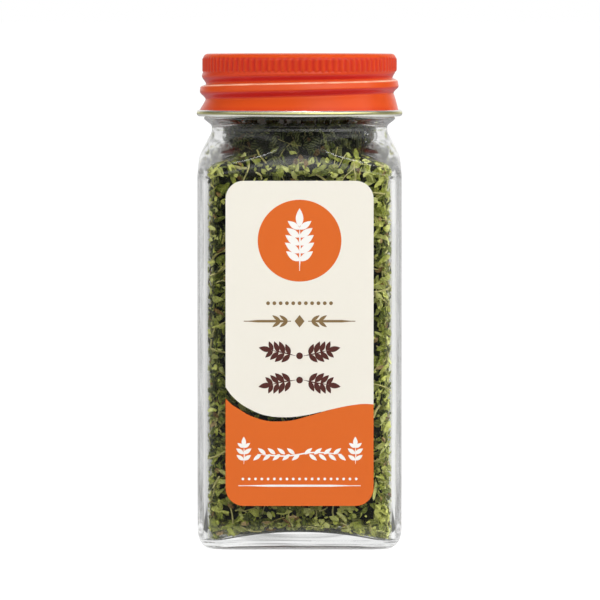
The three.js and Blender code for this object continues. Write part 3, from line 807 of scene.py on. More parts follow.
# The groove's lower slope, from its bottom outward: distance below the bottom, and the depth left there.
LOWER_SLOPE = [
    (0, GROOVE_DEPTH), (0.06, 1.1), (0.14, 0.86), (0.24, 0.5), (0.34, 0.26), (0.5, 0.07), (0.66, 0),
]
slope_place, slope_depth = zip(*LOWER_SLOPE)
WAIST_RADIUS = 21.1
WAIST_END = 103.6
STEP_RADIUS = 20.9
wall_z = cap_rows[:, :1]
pressed_in = np.zeros((len(cap_rows), CAP_STEPS))
painted_highlight = np.zeros((len(cap_rows), CAP_STEPS))
for whole in (-2, -1, 0):
    turns = cap_angles / FULL_TURN + whole
    line = np.interp(turns, THREAD_TURNS, THREAD_HEIGHTS)
    on_thread = np.clip((turns - THREAD_START) / 0.12, 0, 1) * np.clip((THREAD_END - turns) / 0.1, 0, 1)
    off = wall_z - (line - GROOVE_BELOW_LINE)
    upper_share = (1 + np.cos(math.pi * np.clip(off / UPPER_SLOPE_HEIGHT, 0, 1))) / 2
    section = np.where(off > 0, GROOVE_DEPTH * upper_share**1.5, np.interp(-off, slope_place, slope_depth))
    pressed_in = np.maximum(pressed_in, section * on_thread)
    # Painted highlight: a pale line along the groove's lower slope, where a lamp would glint.
    painted_highlight = np.maximum(painted_highlight, np.exp(-(((off + 0.36) / 0.15) ** 2)) * on_thread**2)

# Below the thread the wall draws in to a waist, lower on the left, and flares out again to the skirt.
plain = cap_rows[:, 1:] - pressed_in
waist = 100.75 + 0.65 * np.cos(cap_angles)[None, :]
above = np.clip((wall_z - waist) / 1.75, 0, 1)
below = np.clip((waist - wall_z) / (waist - SKIRT_END), 0, 1)
rightward = (1 + np.cos(cap_angles)[None, :]) / 2
flare = (1.45 - 0.35 * rightward) * below ** (1.15 - 0.35 * rightward)
step_in = (plain - WAIST_RADIUS) * above * above * (3 - 2 * above)
drawn_in = np.where(wall_z >= waist, WAIST_RADIUS + step_in, WAIST_RADIUS + flare)
plain = np.where(wall_z < WAIST_END, drawn_in, plain)
ribs = rib_relief(cap_angles[None, :], wall_z) * (plain > STEP_RADIUS)
cap_outer = plain + (RIB_RELIEF * ribs - 0.04 * (ribs > 0))
cap_outer[0] = 0
cap_height = np.repeat(wall_z, CAP_STEPS, axis=1)

# The inside takes every third row, and lies under the sheet's thickness, without the ribs.
under_step = (cap_rows[:, 1] < STEP_RADIUS)[:, None]
coarser = np.append(np.arange(0, len(cap_rows) - 2, 3), len(cap_rows) - 1)
inner_reach_of_cap = np.where(under_step, np.minimum(plain, STEP_RADIUS - 0.01), plain - SHEET)
cap_inner = inner_reach_of_cap[coarser][::-1]
lowered = np.where(under_step, cap_height - SHEET, np.minimum(cap_height, CAP_TOP - SHEET))
inner_height = lowered[coarser][::-1]
cap_inner[-1] = 0
cap_heights = np.vstack([cap_height, inner_height])
cap = ring_body("cap_shell", np.vstack([cap_outer, cap_inner]), cap_heights, cap_angles)

# Painted shade: deep red where the wall faces down, between the ribs, in a band below them and at the skirt's
# edge.
rise = np.gradient(plain, axis=0) / np.minimum(np.gradient(cap_height, axis=0), -0.01)
under_slope = np.clip(1.5 * rise, 0, 1) * (wall_z < 109)
on_band = np.clip((wall_z - 106.0) / 0.7, 0, 1) * np.clip((109.65 - wall_z) / 0.25, 0, 1)
below_band = 0.42 * np.clip((wall_z - 104.7) / 0.7, 0, 1) * np.clip((107.0 - wall_z) / 0.5, 0, 1)
at_edge = 0.4 * np.clip((98.7 - wall_z) / 0.9, 0, 1)
painted_shade = np.maximum(np.maximum(under_slope, (0.78 - 0.4 * ribs) * on_band), np.maximum(below_band, at_edge))
gloss = np.clip((109.8 - wall_z) / 0.4, 0.15, 1) + 0 * painted_shade


def on_cap_points(field):
    """Values for the cap's points from a grid over its outer rows. The inner skin takes some, in reverse."""
    rows = zip(np.vstack([field, field[coarser][::-1]]), np.vstack([cap_outer, cap_inner]))
    return np.concatenate([row[:1] if reach[0] == 0 else row for row, reach in rows])


for effect, field in (("enamel_painted_shade", painted_shade), ("enamel_gloss", gloss), ("enamel_painted_highlight", painted_highlight)):
    write_on_points(cap, effect, on_cap_points(field))
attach(cap, "cap")
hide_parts("screw_cap")
print("cap faces:", len(cap.data.polygons))

# %% [markdown]
# ## The curl at the cap's lower edge
#
# A cut edge of tinplate is sharp, so it is rolled outward into a curl. Rolling turns the sheet inside out,
# and the bare, tinned side shows as a bright line under the enamel. It is its own closed ring here, because
# it has its own metal. A small seam crosses it where the ends of the sheet meet, and a band along its face is
# coloured olive gold.

# %% Build the curl
CURL_SECTION = [
    (97.72, 22.3), (97.76, 22.62), (97.64, 22.9), (97.42, 23.03), (97.05, 23.08), (96.7, 23.04),
    (96.45, 22.86), (CURL_BOTTOM + 0.02, 22.55), (CURL_BOTTOM + 0.05, 22.2), (96.5, 21.98), (96.9, 21.92),
    (97.4, 22.0),
]
CURL_SEAM_ANGLE = -math.pi / 2 + 0.01
CURL_SEAM_WIDTH = 0.006
CURL_FACE = 22.4
curl_rows = smooth_curve([*CURL_SECTION, CURL_SECTION[0]], 2)[:-1]
curl_z, curl_radius = curl_rows[:, :1], curl_rows[:, 1:]
from_curl_seam = (cap_angles - CURL_SEAM_ANGLE + math.pi) % FULL_TURN - math.pi
curl_seam = np.exp(-((from_curl_seam / CURL_SEAM_WIDTH) ** 2))[None, :]
curl_waver = (0.012 * np.sin(7 * cap_angles + 1) + 0.009 * np.sin(23 * cap_angles))[None, :]
curl_reach = curl_radius - 0.12 * curl_seam * (curl_radius > CURL_FACE) - 0.02
curl_height = curl_z + curl_waver * (curl_z > CURL_BOTTOM + 0.3)
curl = ring_body("cap_curl", curl_reach, curl_height, cap_angles, looped=True)
# A band along the curl's face, coloured olive gold.
olive_gold_share = np.clip(1.3 - ((curl_z - 97.12) / 0.34) ** 2, 0, 1) * (curl_radius > CURL_FACE) + 0 * curl_reach
write_on_points(curl, "olive_gold_band", olive_gold_share.ravel())
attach(curl, "cap")
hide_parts("screw_cap")
print("curl faces:", len(curl.data.polygons))

# %% [markdown]
# ## Effects that several finishes share
#
# Fine mottling turns up on the leaves, the label and the metal, each at its own scale, and darker specks on
# the leaves. It is one node group, built once: it takes numbers in and gives masks and values out, and every
# material sets its own.

# %% Small helpers for node trees
def node(tree, kind, **settings):
    """A new node with some of its settings."""
    made = tree.nodes.new(kind)
    for key, value in settings.items():
        setattr(made, key, value)
    return made


def link(tree, source, target):
    """Joins an output to an input."""
    tree.links.new(source, target)


def fill(tree, socket, value):
    """Gives an input its value, which is a number, a colour or another node's output."""
    if isinstance(value, (int, float)):
        socket.default_value = value
    elif isinstance(value, tuple):
        socket.default_value = (*value, 1)
    elif value is not None:
        link(tree, value, socket)


def math_node(tree, operation, first, second=None, third=None, clamped=False):
    """A math node with each input given as a socket or a number."""
    made = node(tree, "ShaderNodeMath", operation=operation, use_clamp=clamped)
    for socket, value in zip(made.inputs, (first, second, third)):
        fill(tree, socket, value)
    return made.outputs[0]


def ramp(tree, factor, stops):
    """A colour ramp from a value, with stops as (position, colour)."""
    made = node(tree, "ShaderNodeValToRGB")
    elements = made.color_ramp.elements
    for _ in stops[2:]:
        elements.new(0.5)
    for element, (position, colour) in zip(elements, stops):
        element.position = position
        element.color = (*colour, 1)
    link(tree, factor, made.inputs[0])
    return made.outputs[0]


def grey_ramp(tree, factor, stops):
    """A ramp of greys, with stops as (position, brightness)."""
    return ramp(tree, factor, [(position, (grey, grey, grey)) for position, grey in stops])


def mixed(tree, factor, first, second, blend="MIX"):
    """A colour mix with each input given as a socket, a colour or a number."""
    made = node(tree, "ShaderNodeMix", data_type="RGBA", blend_type=blend)
    for socket, value in zip((made.inputs[0], made.inputs[6], made.inputs[7]), (factor, first, second)):
        fill(tree, socket, value)
    return made.outputs[2]


def mixed_shaders(tree, factor, first, second):
    """The first shader where the factor is 0, and the second where it is 1."""
    made = node(tree, "ShaderNodeMixShader")
    for socket, source in zip(made.inputs, (factor, first, second)):
        link(tree, source, socket)
    return made.outputs[0]


def new_group(name, inputs, outputs):
    """An empty node group with sockets given as (name, kind, default)."""
    group = bpy.data.node_groups.new(name, "ShaderNodeTree")
    for label, kind, default in inputs:
        socket = group.interface.new_socket(label, in_out="INPUT", socket_type="NodeSocket" + kind)
        if default is not None:
            socket.default_value = default
    for label, kind in outputs:
        group.interface.new_socket(label, in_out="OUTPUT", socket_type="NodeSocket" + kind)
    return group, group.nodes.new("NodeGroupInput"), group.nodes.new("NodeGroupOutput")


def set_inputs(tree, made, **values):
    """Sets a node's inputs by name. Underscores in a name stand for spaces."""
    for label, value in values.items():
        fill(tree, made.inputs[label.replace("_", " ")], value)
    return made


def place_group(tree, group, **values):
    """A group node in a material, with its inputs set by name."""
    return set_inputs(tree, node(tree, "ShaderNodeGroup", node_tree=group), **values)


# %% Group: fine mottling
mottle_group, mottle_in, mottle_out = new_group(
    "fine_mottle",
    [("Size mm", "Float", 1.0), ("Contrast", "Float", 1.0), ("Detail", "Float", 4.0)],
    [("Mottle", "Float"), ("Specks", "Float")],
)
coordinates = node(mottle_group, "ShaderNodeTexCoord").outputs["Object"]
mottle_scale = math_node(mottle_group, "DIVIDE", 1000.0, mottle_in.outputs["Size mm"])
mottle_noise = set_inputs(
    mottle_group, node(mottle_group, "ShaderNodeTexNoise"),
    Vector=coordinates, Scale=mottle_scale, Detail=mottle_in.outputs["Detail"], Roughness=0.6,
)
speck_noise = set_inputs(
    mottle_group, node(mottle_group, "ShaderNodeTexNoise"),
    Vector=coordinates, Scale=math_node(mottle_group, "MULTIPLY", mottle_scale, 2.7), Detail=2.0,
)
centred = math_node(mottle_group, "SUBTRACT", mottle_noise.outputs["Fac"], 0.5)
spread = math_node(mottle_group, "MULTIPLY", centred, mottle_in.outputs["Contrast"])
mottle = math_node(mottle_group, "ADD", spread, 0.5)
speck_edge = math_node(mottle_group, "SUBTRACT", speck_noise.outputs["Fac"], 0.63)
speck_mask = math_node(mottle_group, "MULTIPLY", speck_edge, 14.0, clamped=True)
set_inputs(mottle_group, mottle_out, Mottle=mottle, Specks=speck_mask)
print("group made:", mottle_group.name)

# %% [markdown]
# ## Glass
#
# Pressed glass is clear, smooth and a little uneven. Most of the unevenness is in the mesh of the inner
# wall, so the shader is plain: full transmission, about the index of soda-lime glass, and a faint bump.
# Real glass also lets the lamps light what is inside. Path tracing finds that light only by chance, so rays
# that go to a lamp pass straight through instead, by way of the Light Path node.

# %% Glass material
def new_material(name):
    """A material with its node tree, its shader and its output."""
    made = bpy.data.materials.new(name)
    made.use_nodes = True
    tree = made.node_tree
    return made, tree, tree.nodes["Principled BSDF"], tree.nodes["Material Output"]


def on_points(tree, name):
    """A number that a mesh holds for each of its points."""
    return node(tree, "ShaderNodeAttribute", attribute_name=name).outputs["Fac"]


def bumped(tree, shader, height, strength, distance_mm):
    """Feeds a height to the shader's normal."""
    bump = node(tree, "ShaderNodeBump")
    set_inputs(tree, bump, Strength=strength, Distance=distance_mm * MM, Height=height)
    link(tree, bump.outputs["Normal"], shader.inputs["Normal"])


glass, tree, shader, output = new_material("clear_glass")
set_inputs(
    tree, shader, Base_Color=(0.985, 0.99, 0.985), Transmission_Weight=1.0, IOR=1.5, Roughness=0.045,
)
waves = place_group(tree, mottle_group, Size_mm=9.0, Contrast=1.0, Detail=1.0)
bumped(tree, shader, waves.outputs["Mottle"], 0.06, 0.2)
lamp_rays = node(tree, "ShaderNodeLightPath").outputs["Is Shadow Ray"]
clear = set_inputs(tree, node(tree, "ShaderNodeBsdfTransparent"), Color=(0.96, 0.97, 0.96))
link(tree, mixed_shaders(tree, lamp_rays, shader.outputs[0], clear.outputs[0]), output.inputs["Surface"])
jar.data.materials.append(glass)
print("material:", glass.name)

# %% [markdown]
# ## Dried leaf
#
# A dried curry leaf is dull olive, paler on its underside and brown where it was bruised, with fine
# parallel veins. Every flake has a tone of its own, written on its points, which picks a colour from a
# ramp; that tone also holds painted shade under the cap and painted light at the shoulder, near the floor
# and to the right. Mottling shifts that colour within the flake, and the veins are a band pattern laid along
# it.

# %% Group: leaf colour and relief
leaf_group, leaf_in, leaf_out = new_group(
    "leaf_surface",
    [
        ("Tone", "Float", 0.5), ("Mottle", "Float", 0.5), ("Specks", "Float", 0.0),
        ("Vein Strength", "Float", 0.3),
    ],
    [("Tone", "Float"), ("Vein", "Float"), ("Height", "Float")],
)
along_leaf = node(leaf_group, "ShaderNodeUVMap", uv_map="along_leaf").outputs[0]
veins = node(leaf_group, "ShaderNodeTexWave", wave_type="BANDS", bands_direction="DIAGONAL")
set_inputs(leaf_group, veins, Vector=along_leaf, Scale=0.75, Distortion=1.6, Detail=1.5)
fine_vein = math_node(leaf_group, "POWER", veins.outputs["Fac"], 4.0)
vein_out = math_node(leaf_group, "MULTIPLY", fine_vein, leaf_in.outputs["Vein Strength"])
off_middle = math_node(leaf_group, "SUBTRACT", leaf_in.outputs["Mottle"], 0.5)
shift = math_node(leaf_group, "MULTIPLY", off_middle, 0.7)
toned = math_node(leaf_group, "ADD", leaf_in.outputs["Tone"], shift)
specks = math_node(leaf_group, "MULTIPLY", leaf_in.outputs["Specks"], 0.2)
darkened = math_node(leaf_group, "SUBTRACT", toned, specks, clamped=True)
coarse_relief = math_node(leaf_group, "MULTIPLY", leaf_in.outputs["Mottle"], 0.6)
relief = math_node(leaf_group, "ADD", coarse_relief, fine_vein)
set_inputs(leaf_group, leaf_out, Tone=darkened, Vein=vein_out, Height=relief)


# %% Leaf materials
def leaf_material(name, stops, vein_colour, vein_strength, roughness):
    """A dull leaf or stalk, coloured by a ramp over the tone of each bit."""
    made, tree, shader, _ = new_material(name)
    tone = on_points(tree, "flake_tone_light_and_shade")
    mottle = place_group(tree, mottle_group, Size_mm=0.9, Contrast=1.2, Detail=5.0)
    surface = place_group(
        tree, leaf_group, Tone=tone, Mottle=mottle.outputs["Mottle"], Specks=mottle.outputs["Specks"],
        Vein_Strength=vein_strength,
    )
    colour = ramp(tree, surface.outputs["Tone"], stops)
    veined = mixed(tree, surface.outputs["Vein"], colour, vein_colour)
    set_inputs(tree, shader, Base_Color=veined, Roughness=roughness, Specular_IOR_Level=0.1)
    bumped(tree, shader, surface.outputs["Height"], 0.5, 0.12)
    return made


GREEN_STOPS = [
    (0.0, (0.012, 0.017, 0.003)), (0.3, (0.062, 0.080, 0.010)), (0.55, (0.165, 0.200, 0.024)),
    (0.8, (0.41, 0.445, 0.072)), (1.0, (0.68, 0.70, 0.18)),
]
PALE_STOPS = [
    (0.0, (0.03, 0.036, 0.008)), (0.3, (0.18, 0.20, 0.040)), (0.65, (0.43, 0.46, 0.105)),
    (1.0, (0.70, 0.72, 0.25)),
]
BROWN_STOPS = [
    (0.0, (0.05, 0.028, 0.008)), (0.45, (0.17, 0.10, 0.028)), (0.75, (0.30, 0.19, 0.06)),
    (1.0, (0.46, 0.33, 0.15)),
]
STRAW_STOPS = [(0.0, (0.05, 0.045, 0.012)), (0.5, (0.40, 0.37, 0.10)), (1.0, (0.68, 0.64, 0.26))]
# Painted shade: the core is near black, for the shaded inside of the mass and the gaps between flakes.
CORE_SHADE_STOPS = [(0.0, (0.012, 0.014, 0.004)), (0.6, (0.035, 0.042, 0.012)), (1.0, (0.09, 0.10, 0.03))]
PALE_VEIN = (0.50, 0.52, 0.22)
for piece, name, stops, vein, strength, roughness in (
    (green, "green_leaf", GREEN_STOPS, PALE_VEIN, 0.22, 0.55),
    (pale, "pale_leaf", PALE_STOPS, PALE_VEIN, 0.30, 0.65),
    (crumbs, "leaf_crumb", GREEN_STOPS, PALE_VEIN, 0.15, 0.6),
    (brown, "brown_leaf", BROWN_STOPS, (0.42, 0.30, 0.13), 0.25, 0.6),
    (curls, "curled_leaf", PALE_STOPS, PALE_VEIN, 0.35, 0.6),
    (straw, "leaf_stalk", STRAW_STOPS, (0.6, 0.52, 0.26), 0.3, 0.6),
    (core, "packed_leaf_painted_shade", CORE_SHADE_STOPS, (0.08, 0.09, 0.03), 0.1, 0.8),
):
    piece.data.materials.append(leaf_material(name, stops, vein, strength, roughness))
print("leaf materials:", len(leaf_pieces))

# %% [markdown]
# ## Printed film
#
# The label's film is smooth and slightly glossy. Its inks lie on a white base, and printing leaves a very
# fine grain and faint unevenness in each flat colour. One function makes all its inks, since only the
# colour differs.

# %% Ink materials
INK_ROUGHNESS = 0.26


def ink_material(name, colour, darker):
    """One flat printed colour, with a very fine grain."""
    made, tree, shader, _ = new_material(name)
    grain = place_group(tree, mottle_group, Size_mm=0.35, Contrast=0.9, Detail=3.0)
    cloud = place_group(tree, mottle_group, Size_mm=7.0, Contrast=0.8, Detail=2.0)
    both = math_node(tree, "MULTIPLY", grain.outputs["Mottle"], cloud.outputs["Mottle"])
    set_inputs(
        tree, shader,
        Base_Color=mixed(tree, both, colour, darker),
        Roughness=math_node(tree, "MULTIPLY_ADD", grain.outputs["Mottle"], 0.12, INK_ROUGHNESS),
        Specular_IOR_Level=0.3, Coat_Weight=0.08, Coat_Roughness=0.2,
    )
    bumped(tree, shader, grain.outputs["Mottle"], 0.12, 0.03)
    return made


for name, colour, darker, plates in (
    ("orange_ink", (0.71, 0.138, 0.016), (0.67, 0.125, 0.014), (orange, medallion)),
    ("cream_ink", (0.845, 0.81, 0.72), (0.81, 0.775, 0.68), (cream,)),
    ("white_ink", (0.90, 0.88, 0.84), (0.86, 0.84, 0.80), (oval_sprig, white_print)),
    ("gold_brown_ink", (0.235, 0.150, 0.062), (0.20, 0.125, 0.05), (gold_marks,)),
    ("dark_brown_ink", (0.085, 0.022, 0.016), (0.07, 0.018, 0.013), (brown_sprigs,)),
):
    ink = ink_material(name, colour, darker)
    for plate in plates:
        plate.data.materials.append(ink)
print("inks: 5")

# %% [markdown]
# ## Enamel, tinplate and the liner
#
# The cap's enamel is a clear orange lacquer over bright metal. Its base colour is painted deep red, as
# painted shade, where the wall faces down, between the ribs, in a band below them and at the skirt's edge. A
# pale painted highlight runs along the thread's lower slope, and a clear coat gives the gloss. The curl is
# bare tinplate with an olive-gold band along its face, and the liner under the cap is a disc of white foam
# with fine pores.

# %% Enamel
ENAMEL, SHADED_ENAMEL, HIGHLIGHT_ENAMEL = (0.685, 0.082, 0.007), (0.52, 0.014, 0.012), (1.0, 0.62, 0.42)
enamel, tree, shader, _ = new_material("orange_enamel")
fine = place_group(tree, mottle_group, Size_mm=0.6, Contrast=0.8, Detail=3.0).outputs["Mottle"]
broad = place_group(tree, mottle_group, Size_mm=12.0, Contrast=1.0, Detail=2.0).outputs["Mottle"]
patchy = place_group(tree, mottle_group, Size_mm=4.0, Contrast=2.6, Detail=3.0).outputs["Mottle"]
# Painted shade: the enamel turns deep red by the shade mask written on the cap's points.
depth = math_node(tree, "MULTIPLY", on_points(tree, "enamel_painted_shade"), 0.85)
painted_shade_share = math_node(tree, "ADD", depth, math_node(tree, "MULTIPLY", broad, 0.3), clamped=True)
# Painted highlight: a pale pink line along the thread, uneven in strength.
highlight_patchiness = math_node(tree, "MULTIPLY_ADD", patchy, 0.9, 0.5)
painted_highlight_share = math_node(tree, "MULTIPLY", on_points(tree, "enamel_painted_highlight"), highlight_patchiness, clamped=True)
colour = mixed(tree, painted_shade_share, ENAMEL, SHADED_ENAMEL)
set_inputs(
    tree, shader,
    Base_Color=mixed(tree, painted_highlight_share, colour, HIGHLIGHT_ENAMEL),
    Roughness=math_node(tree, "MULTIPLY_ADD", fine, 0.1, 0.3),
    Coat_Weight=math_node(tree, "MULTIPLY", on_points(tree, "enamel_gloss"), 0.35),
    Coat_Roughness=0.09, Specular_IOR_Level=0.12,
)
bumped(tree, shader, fine, 0.15, 0.04)
cap.data.materials.append(enamel)

# %% Tinplate
BRIGHT_TIN, DULL_TIN, OLIVE_GOLD = (0.96, 0.96, 0.94), (0.84, 0.83, 0.76), (0.62, 0.59, 0.24)
tinplate, tree, shader, _ = new_material("bare_tinplate")
tarnish = place_group(tree, mottle_group, Size_mm=5.0, Contrast=1.4, Detail=3.0).outputs["Mottle"]
scratch = place_group(tree, mottle_group, Size_mm=0.5, Contrast=1.0, Detail=4.0).outputs["Mottle"]
plain_tin = mixed(tree, tarnish, BRIGHT_TIN, DULL_TIN)
set_inputs(
    tree, shader,
    Base_Color=mixed(tree, on_points(tree, "olive_gold_band"), plain_tin, OLIVE_GOLD),
    Roughness=math_node(tree, "MULTIPLY_ADD", scratch, 0.12, 0.17), Metallic=0.8,
)
bumped(tree, shader, scratch, 0.15, 0.04)
curl.data.materials.append(tinplate)

# %% Liner foam
foam, tree, shader, _ = new_material("liner_foam")
coordinates = node(tree, "ShaderNodeTexCoord").outputs["Object"]
pores = set_inputs(tree, node(tree, "ShaderNodeTexVoronoi"), Vector=coordinates, Scale=2200.0)
soil = place_group(tree, mottle_group, Size_mm=6.0, Contrast=1.0, Detail=4.0)
soiled = mixed(tree, soil.outputs["Mottle"], (0.86, 0.85, 0.80), (0.74, 0.73, 0.66))
set_inputs(tree, shader, Base_Color=soiled, Roughness=0.7)
bumped(tree, shader, pores.outputs["Distance"], 0.5, 0.08)
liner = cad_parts["cap_liner"]
liner.data.materials.clear()
liner.data.materials.append(foam)
print("cap materials: 3")

# %% [markdown]
# ## Floor
#
# The floor is plain and pale. A clear jar is drawn by what surrounds it, though: its edges and its base
# show the floor and the room around it, bent. So the floor glows instead of being lit, in three shades chosen
# by the kind of ray: a white one for the camera, one for what the glass shows through itself, with a painted
# shadow under the jar and painted shade in front of it, and a dimmer one for what is mirrored. For soft light
# the floor is an ordinary painted surface.

# %% Floor
# Brightness by direction: across from the left to the right, and in depth from the camera's side to the back.
SIDE_SHADE = [
    (0.0, 0.6), (0.3, 1.0), (0.34, 0.75), (0.37, 0.62), (0.43, 0.7), (0.5, 0.96), (0.7, 0.94), (1.0, 1.0),
]
DEPTH_SHADE = [(0.0, 0.02), (0.12, 0.04), (0.2, 0.5), (0.3, 0.85), (0.45, 1.0), (0.75, 1.0)]
FLOOR_SIDE, FLOOR_FRONT, FLOOR_BACK, FLOOR_Z = 30000, -3000, 90000, -0.02
floor_corners = [
    (-FLOOR_SIDE, FLOOR_FRONT, FLOOR_Z), (FLOOR_SIDE, FLOOR_FRONT, FLOOR_Z),
    (FLOOR_SIDE, FLOOR_BACK, FLOOR_Z), (-FLOOR_SIDE, FLOOR_BACK, FLOOR_Z),
]
floor = add_mesh("studio_floor", floor_corners, [[0, 1, 2, 3]], smooth=False)
floor_paint, tree, shader, output = new_material("pale_floor")
set_inputs(tree, shader, Base_Color=(0.55, 0.55, 0.55), Roughness=0.6, Specular_IOR_Level=0.1)
place = node(tree, "ShaderNodeNewGeometry").outputs["Position"]
from_jar = node(tree, "ShaderNodeVectorMath", operation="LENGTH")
floor_place = node(tree, "ShaderNodeSeparateXYZ")
link(tree, place, from_jar.inputs[0])
link(tree, place, floor_place.inputs[0])
distance, depth = from_jar.outputs["Value"], floor_place.outputs["Y"]


def smooth_range(value, start, end, first, last):
    """A value that goes smoothly from first to last while another goes from start to end, in metres."""
    made = node(tree, "ShaderNodeMapRange", interpolation_type="SMOOTHSTEP")
    set_inputs(tree, made, Value=value, From_Min=start, From_Max=end, To_Min=first, To_Max=last)
    return made.outputs[0]


def half_share(tree, value):
    """A value from -1 to 1, as a share from 0 to 1."""
    return math_node(tree, "MULTIPLY_ADD", value, 0.5, 0.5)


def emission(**values):
    """A glow, with its strength and its colour set by name."""
    return set_inputs(tree, node(tree, "ShaderNodeEmission"), **values).outputs[0]


# Painted shadow: what the glass shows of the floor is dark close round the jar and towards the camera.
near_jar = smooth_range(distance, 0.06, 0.3, 1.1, 0.4)
beside_jar = smooth_range(depth, -0.15, -0.06, 0.03, 1.0)
far_from_jar = smooth_range(distance, 0.03, 0.24, 0.03, 1.0)
behind_jar = smooth_range(depth, 0.022, 0.03, 0.03, 1.0)
side_and_depth = [
    grey_ramp(tree, half_share(tree, math_node(tree, "DIVIDE", floor_place.outputs[axis], distance)), stops)
    for axis, stops in (("X", SIDE_SHADE), ("Y", DEPTH_SHADE))
]
seen_by_camera = emission(Strength=1.15)
seen_through_glass = emission(
    Color=mixed(tree, 1.0, *side_and_depth, "MULTIPLY"),
    Strength=math_node(tree, "MAXIMUM", far_from_jar, behind_jar),
)
seen_mirrored = emission(Strength=math_node(tree, "MULTIPLY", near_jar, beside_jar))
paths = node(tree, "ShaderNodeLightPath").outputs
glowing = mixed_shaders(tree, paths["Is Transmission Ray"], seen_by_camera, seen_through_glass)
glowing = mixed_shaders(tree, paths["Is Reflection Ray"], glowing, seen_mirrored)
glow_share = math_node(tree, "MULTIPLY_ADD", paths["Is Diffuse Ray"], -0.85, 0.85)
link(tree, mixed_shaders(tree, glow_share, shader.outputs[0], glowing), output.inputs["Surface"])
floor.data.materials.append(floor_paint)
print("material:", floor_paint.name)

# %% [markdown]
# ## The room around the jar
#
# The jar stands in something like a white tent. One even white world would leave the glass without edges and
# the leaves flat, so the world is shaded by the kind of ray. It is white for the camera. For what the glass
# shows through itself it is bright behind the jar, dark towards the camera and greyer in places at the
# side. For what is mirrored it is nearly black but for the wall behind and one softbox. The rest is soft
# light, and there is more of it for the leaves, which are lit through the glass.

# %% World
AROUND_LEAVES = 3.3
SOFTBOX = 2.8
world = bpy.data.worlds.new("studio")
bpy.context.scene.world = world
world.use_nodes = True
tree = world.node_tree
direction = node(tree, "ShaderNodeSeparateXYZ")
link(tree, node(tree, "ShaderNodeTexCoord").outputs["Generated"], direction.inputs[0])
toward = direction.outputs


def studio_wall(*walls, blend="LIGHTEN", strength=1.0):
    """A background made of one or more walls, each a brightness that changes along one direction."""
    combined = None
    for axis, stops in walls:
        wall_colour = grey_ramp(tree, half_share(tree, toward[axis]), stops)
        combined = wall_colour if combined is None else mixed(tree, 1.0, combined, wall_colour, blend)
    shade = node(tree, "ShaderNodeBackground")
    return set_inputs(tree, shade, Color=combined, Strength=strength).outputs[0]


def by_ray_kind(kind, first, second, above=None):
    """first for most rays, and second for rays of one kind, or whose count is above a number."""
    chosen = node(tree, "ShaderNodeLightPath").outputs[kind]
    if above is not None:
        chosen = math_node(tree, "GREATER_THAN", chosen, above)
    return mixed_shaders(tree, chosen, first, second)


through = studio_wall(("Y", DEPTH_SHADE), ("X", SIDE_SHADE), blend="MULTIPLY")
back_wall = studio_wall(
    ("Y", [(0.0, 0.03), (0.8, 0.05), (0.9, 0.4), (0.97, 0.9), (1.0, 0.9)]),
    ("Z", [(0.0, 0.03), (0.88, 0.04), (0.96, 0.22), (1.0, 0.3)]),
)

# The softbox is an arch in front of the jar, so that it shows as lines along the cap's rounded edges.
height_squared = math_node(tree, "MULTIPLY", toward["Z"], toward["Z"])
away_from_back = math_node(tree, "SUBTRACT", 1.02, toward["Y"])
arch_place = math_node(tree, "MULTIPLY", math_node(tree, "DIVIDE", height_squared, away_from_back), 0.5)
arch_stops = [(0.002, 0), (0.006, 1), (0.03, 1), (0.05, 0.5), (0.1, 0.45), (0.13, 0)]
arch_shape = grey_ramp(tree, arch_place, arch_stops)
across_stops = [(0.1, 0.25), (0.5, 0.7), (0.64, 1), (0.9, 1), (1.0, 0.4)]
across = grey_ramp(tree, half_share(tree, toward["X"]), across_stops)
in_front = grey_ramp(tree, half_share(tree, toward["Y"]), [(0.45, 1), (0.6, 0)])
arch_across = mixed(tree, 1.0, arch_shape, across, "MULTIPLY")
softbox = set_inputs(
    tree, node(tree, "ShaderNodeBackground"),
    Color=mixed(tree, 1.0, arch_across, in_front, "MULTIPLY"), Strength=SOFTBOX,
)
mirrored = node(tree, "ShaderNodeAddShader")
link(tree, back_wall, mirrored.inputs[0])
link(tree, softbox.outputs[0], mirrored.inputs[1])

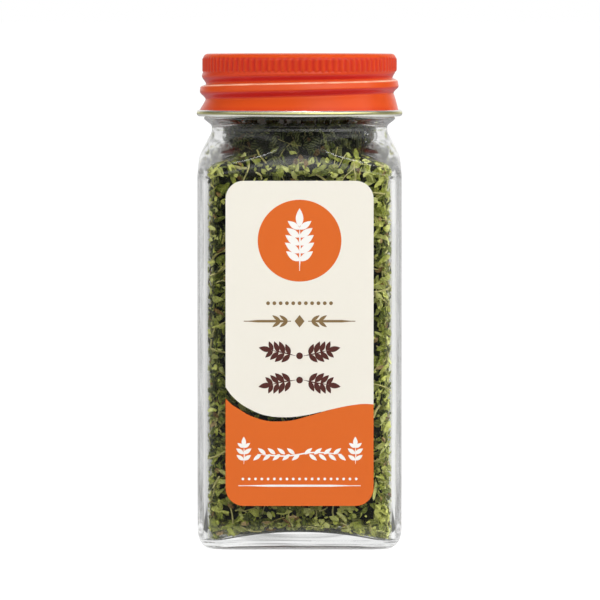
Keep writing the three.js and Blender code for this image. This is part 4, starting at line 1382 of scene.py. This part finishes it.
soft = studio_wall(("Z", [(0.0, 0.11), (0.45, 0.22), (0.7, 0.42), (1.0, 0.42)]))
plain_white = studio_wall(("Z", [(0.0, 1.0), (1.0, 1.0)]))
around = studio_wall(
    ("X", [(0.0, 0.45), (0.4, 0.5), (1.0, 1.0)]),
    ("Z", [(0.0, 0.25), (0.5, 0.6), (1.0, 1.0)]),
    blend="MULTIPLY", strength=AROUND_LEAVES,
)
lit = by_ray_kind("Is Reflection Ray", through, mirrored.outputs[0])
lit = by_ray_kind("Diffuse Depth", lit, around, above=0.5)
lit = by_ray_kind("Is Diffuse Ray", lit, soft)
lit = by_ray_kind("Is Camera Ray", lit, plain_white)
link(tree, lit, tree.nodes["World Output"].inputs["Surface"])
print("world:", world.name)

# %% [markdown]
# ## Lamps
#
# The key lamp stands high at the front right, a weaker one at the front left, one at each side, one behind
# and a small one overhead. Soft lamps give the cap its gentle shading. Their images in the glass would be
# hard white rectangles, so only the one overhead is mirrored or seen through it.

# %% Lamps
AIM = Vector((0, 0, 0.06))


def soft_lamp(name, place, width, height, power, mirrored=False):
    """A rectangular lamp aimed at the middle of the jar. Most are kept out of reflections."""
    data = bpy.data.lights.new(name, "AREA")
    data.shape = "RECTANGLE"
    data.size, data.size_y = width, height
    data.energy = power
    lamp = bpy.data.objects.new(name, data)
    lamp.location = place
    lamp.visible_glossy = mirrored
    lamp.visible_transmission = mirrored
    lamp.rotation_euler = (AIM - Vector(place)).to_track_quat("-Z", "Y").to_euler()
    bpy.context.scene.collection.objects.link(lamp)


soft_lamp("key_lamp", (0.45, -0.95, 0.75), 0.9, 0.9, 7.8)
soft_lamp("fill_lamp", (-0.8, -0.8, 0.5), 0.8, 0.8, 3.6)
soft_lamp("left_side_lamp", (-0.9, 0.15, 0.3), 0.3, 0.7, 1.2)
soft_lamp("right_side_lamp", (0.9, 0.0, 0.35), 0.3, 0.7, 3.6)
soft_lamp("back_lamp", (0, 0.9, 0.6), 0.8, 0.4, 3.0)
soft_lamp("overhead_lamp", (0.05, -0.25, 1.1), 0.35, 0.25, 1.6, mirrored=True)
print("lamps:", len(bpy.data.lights))
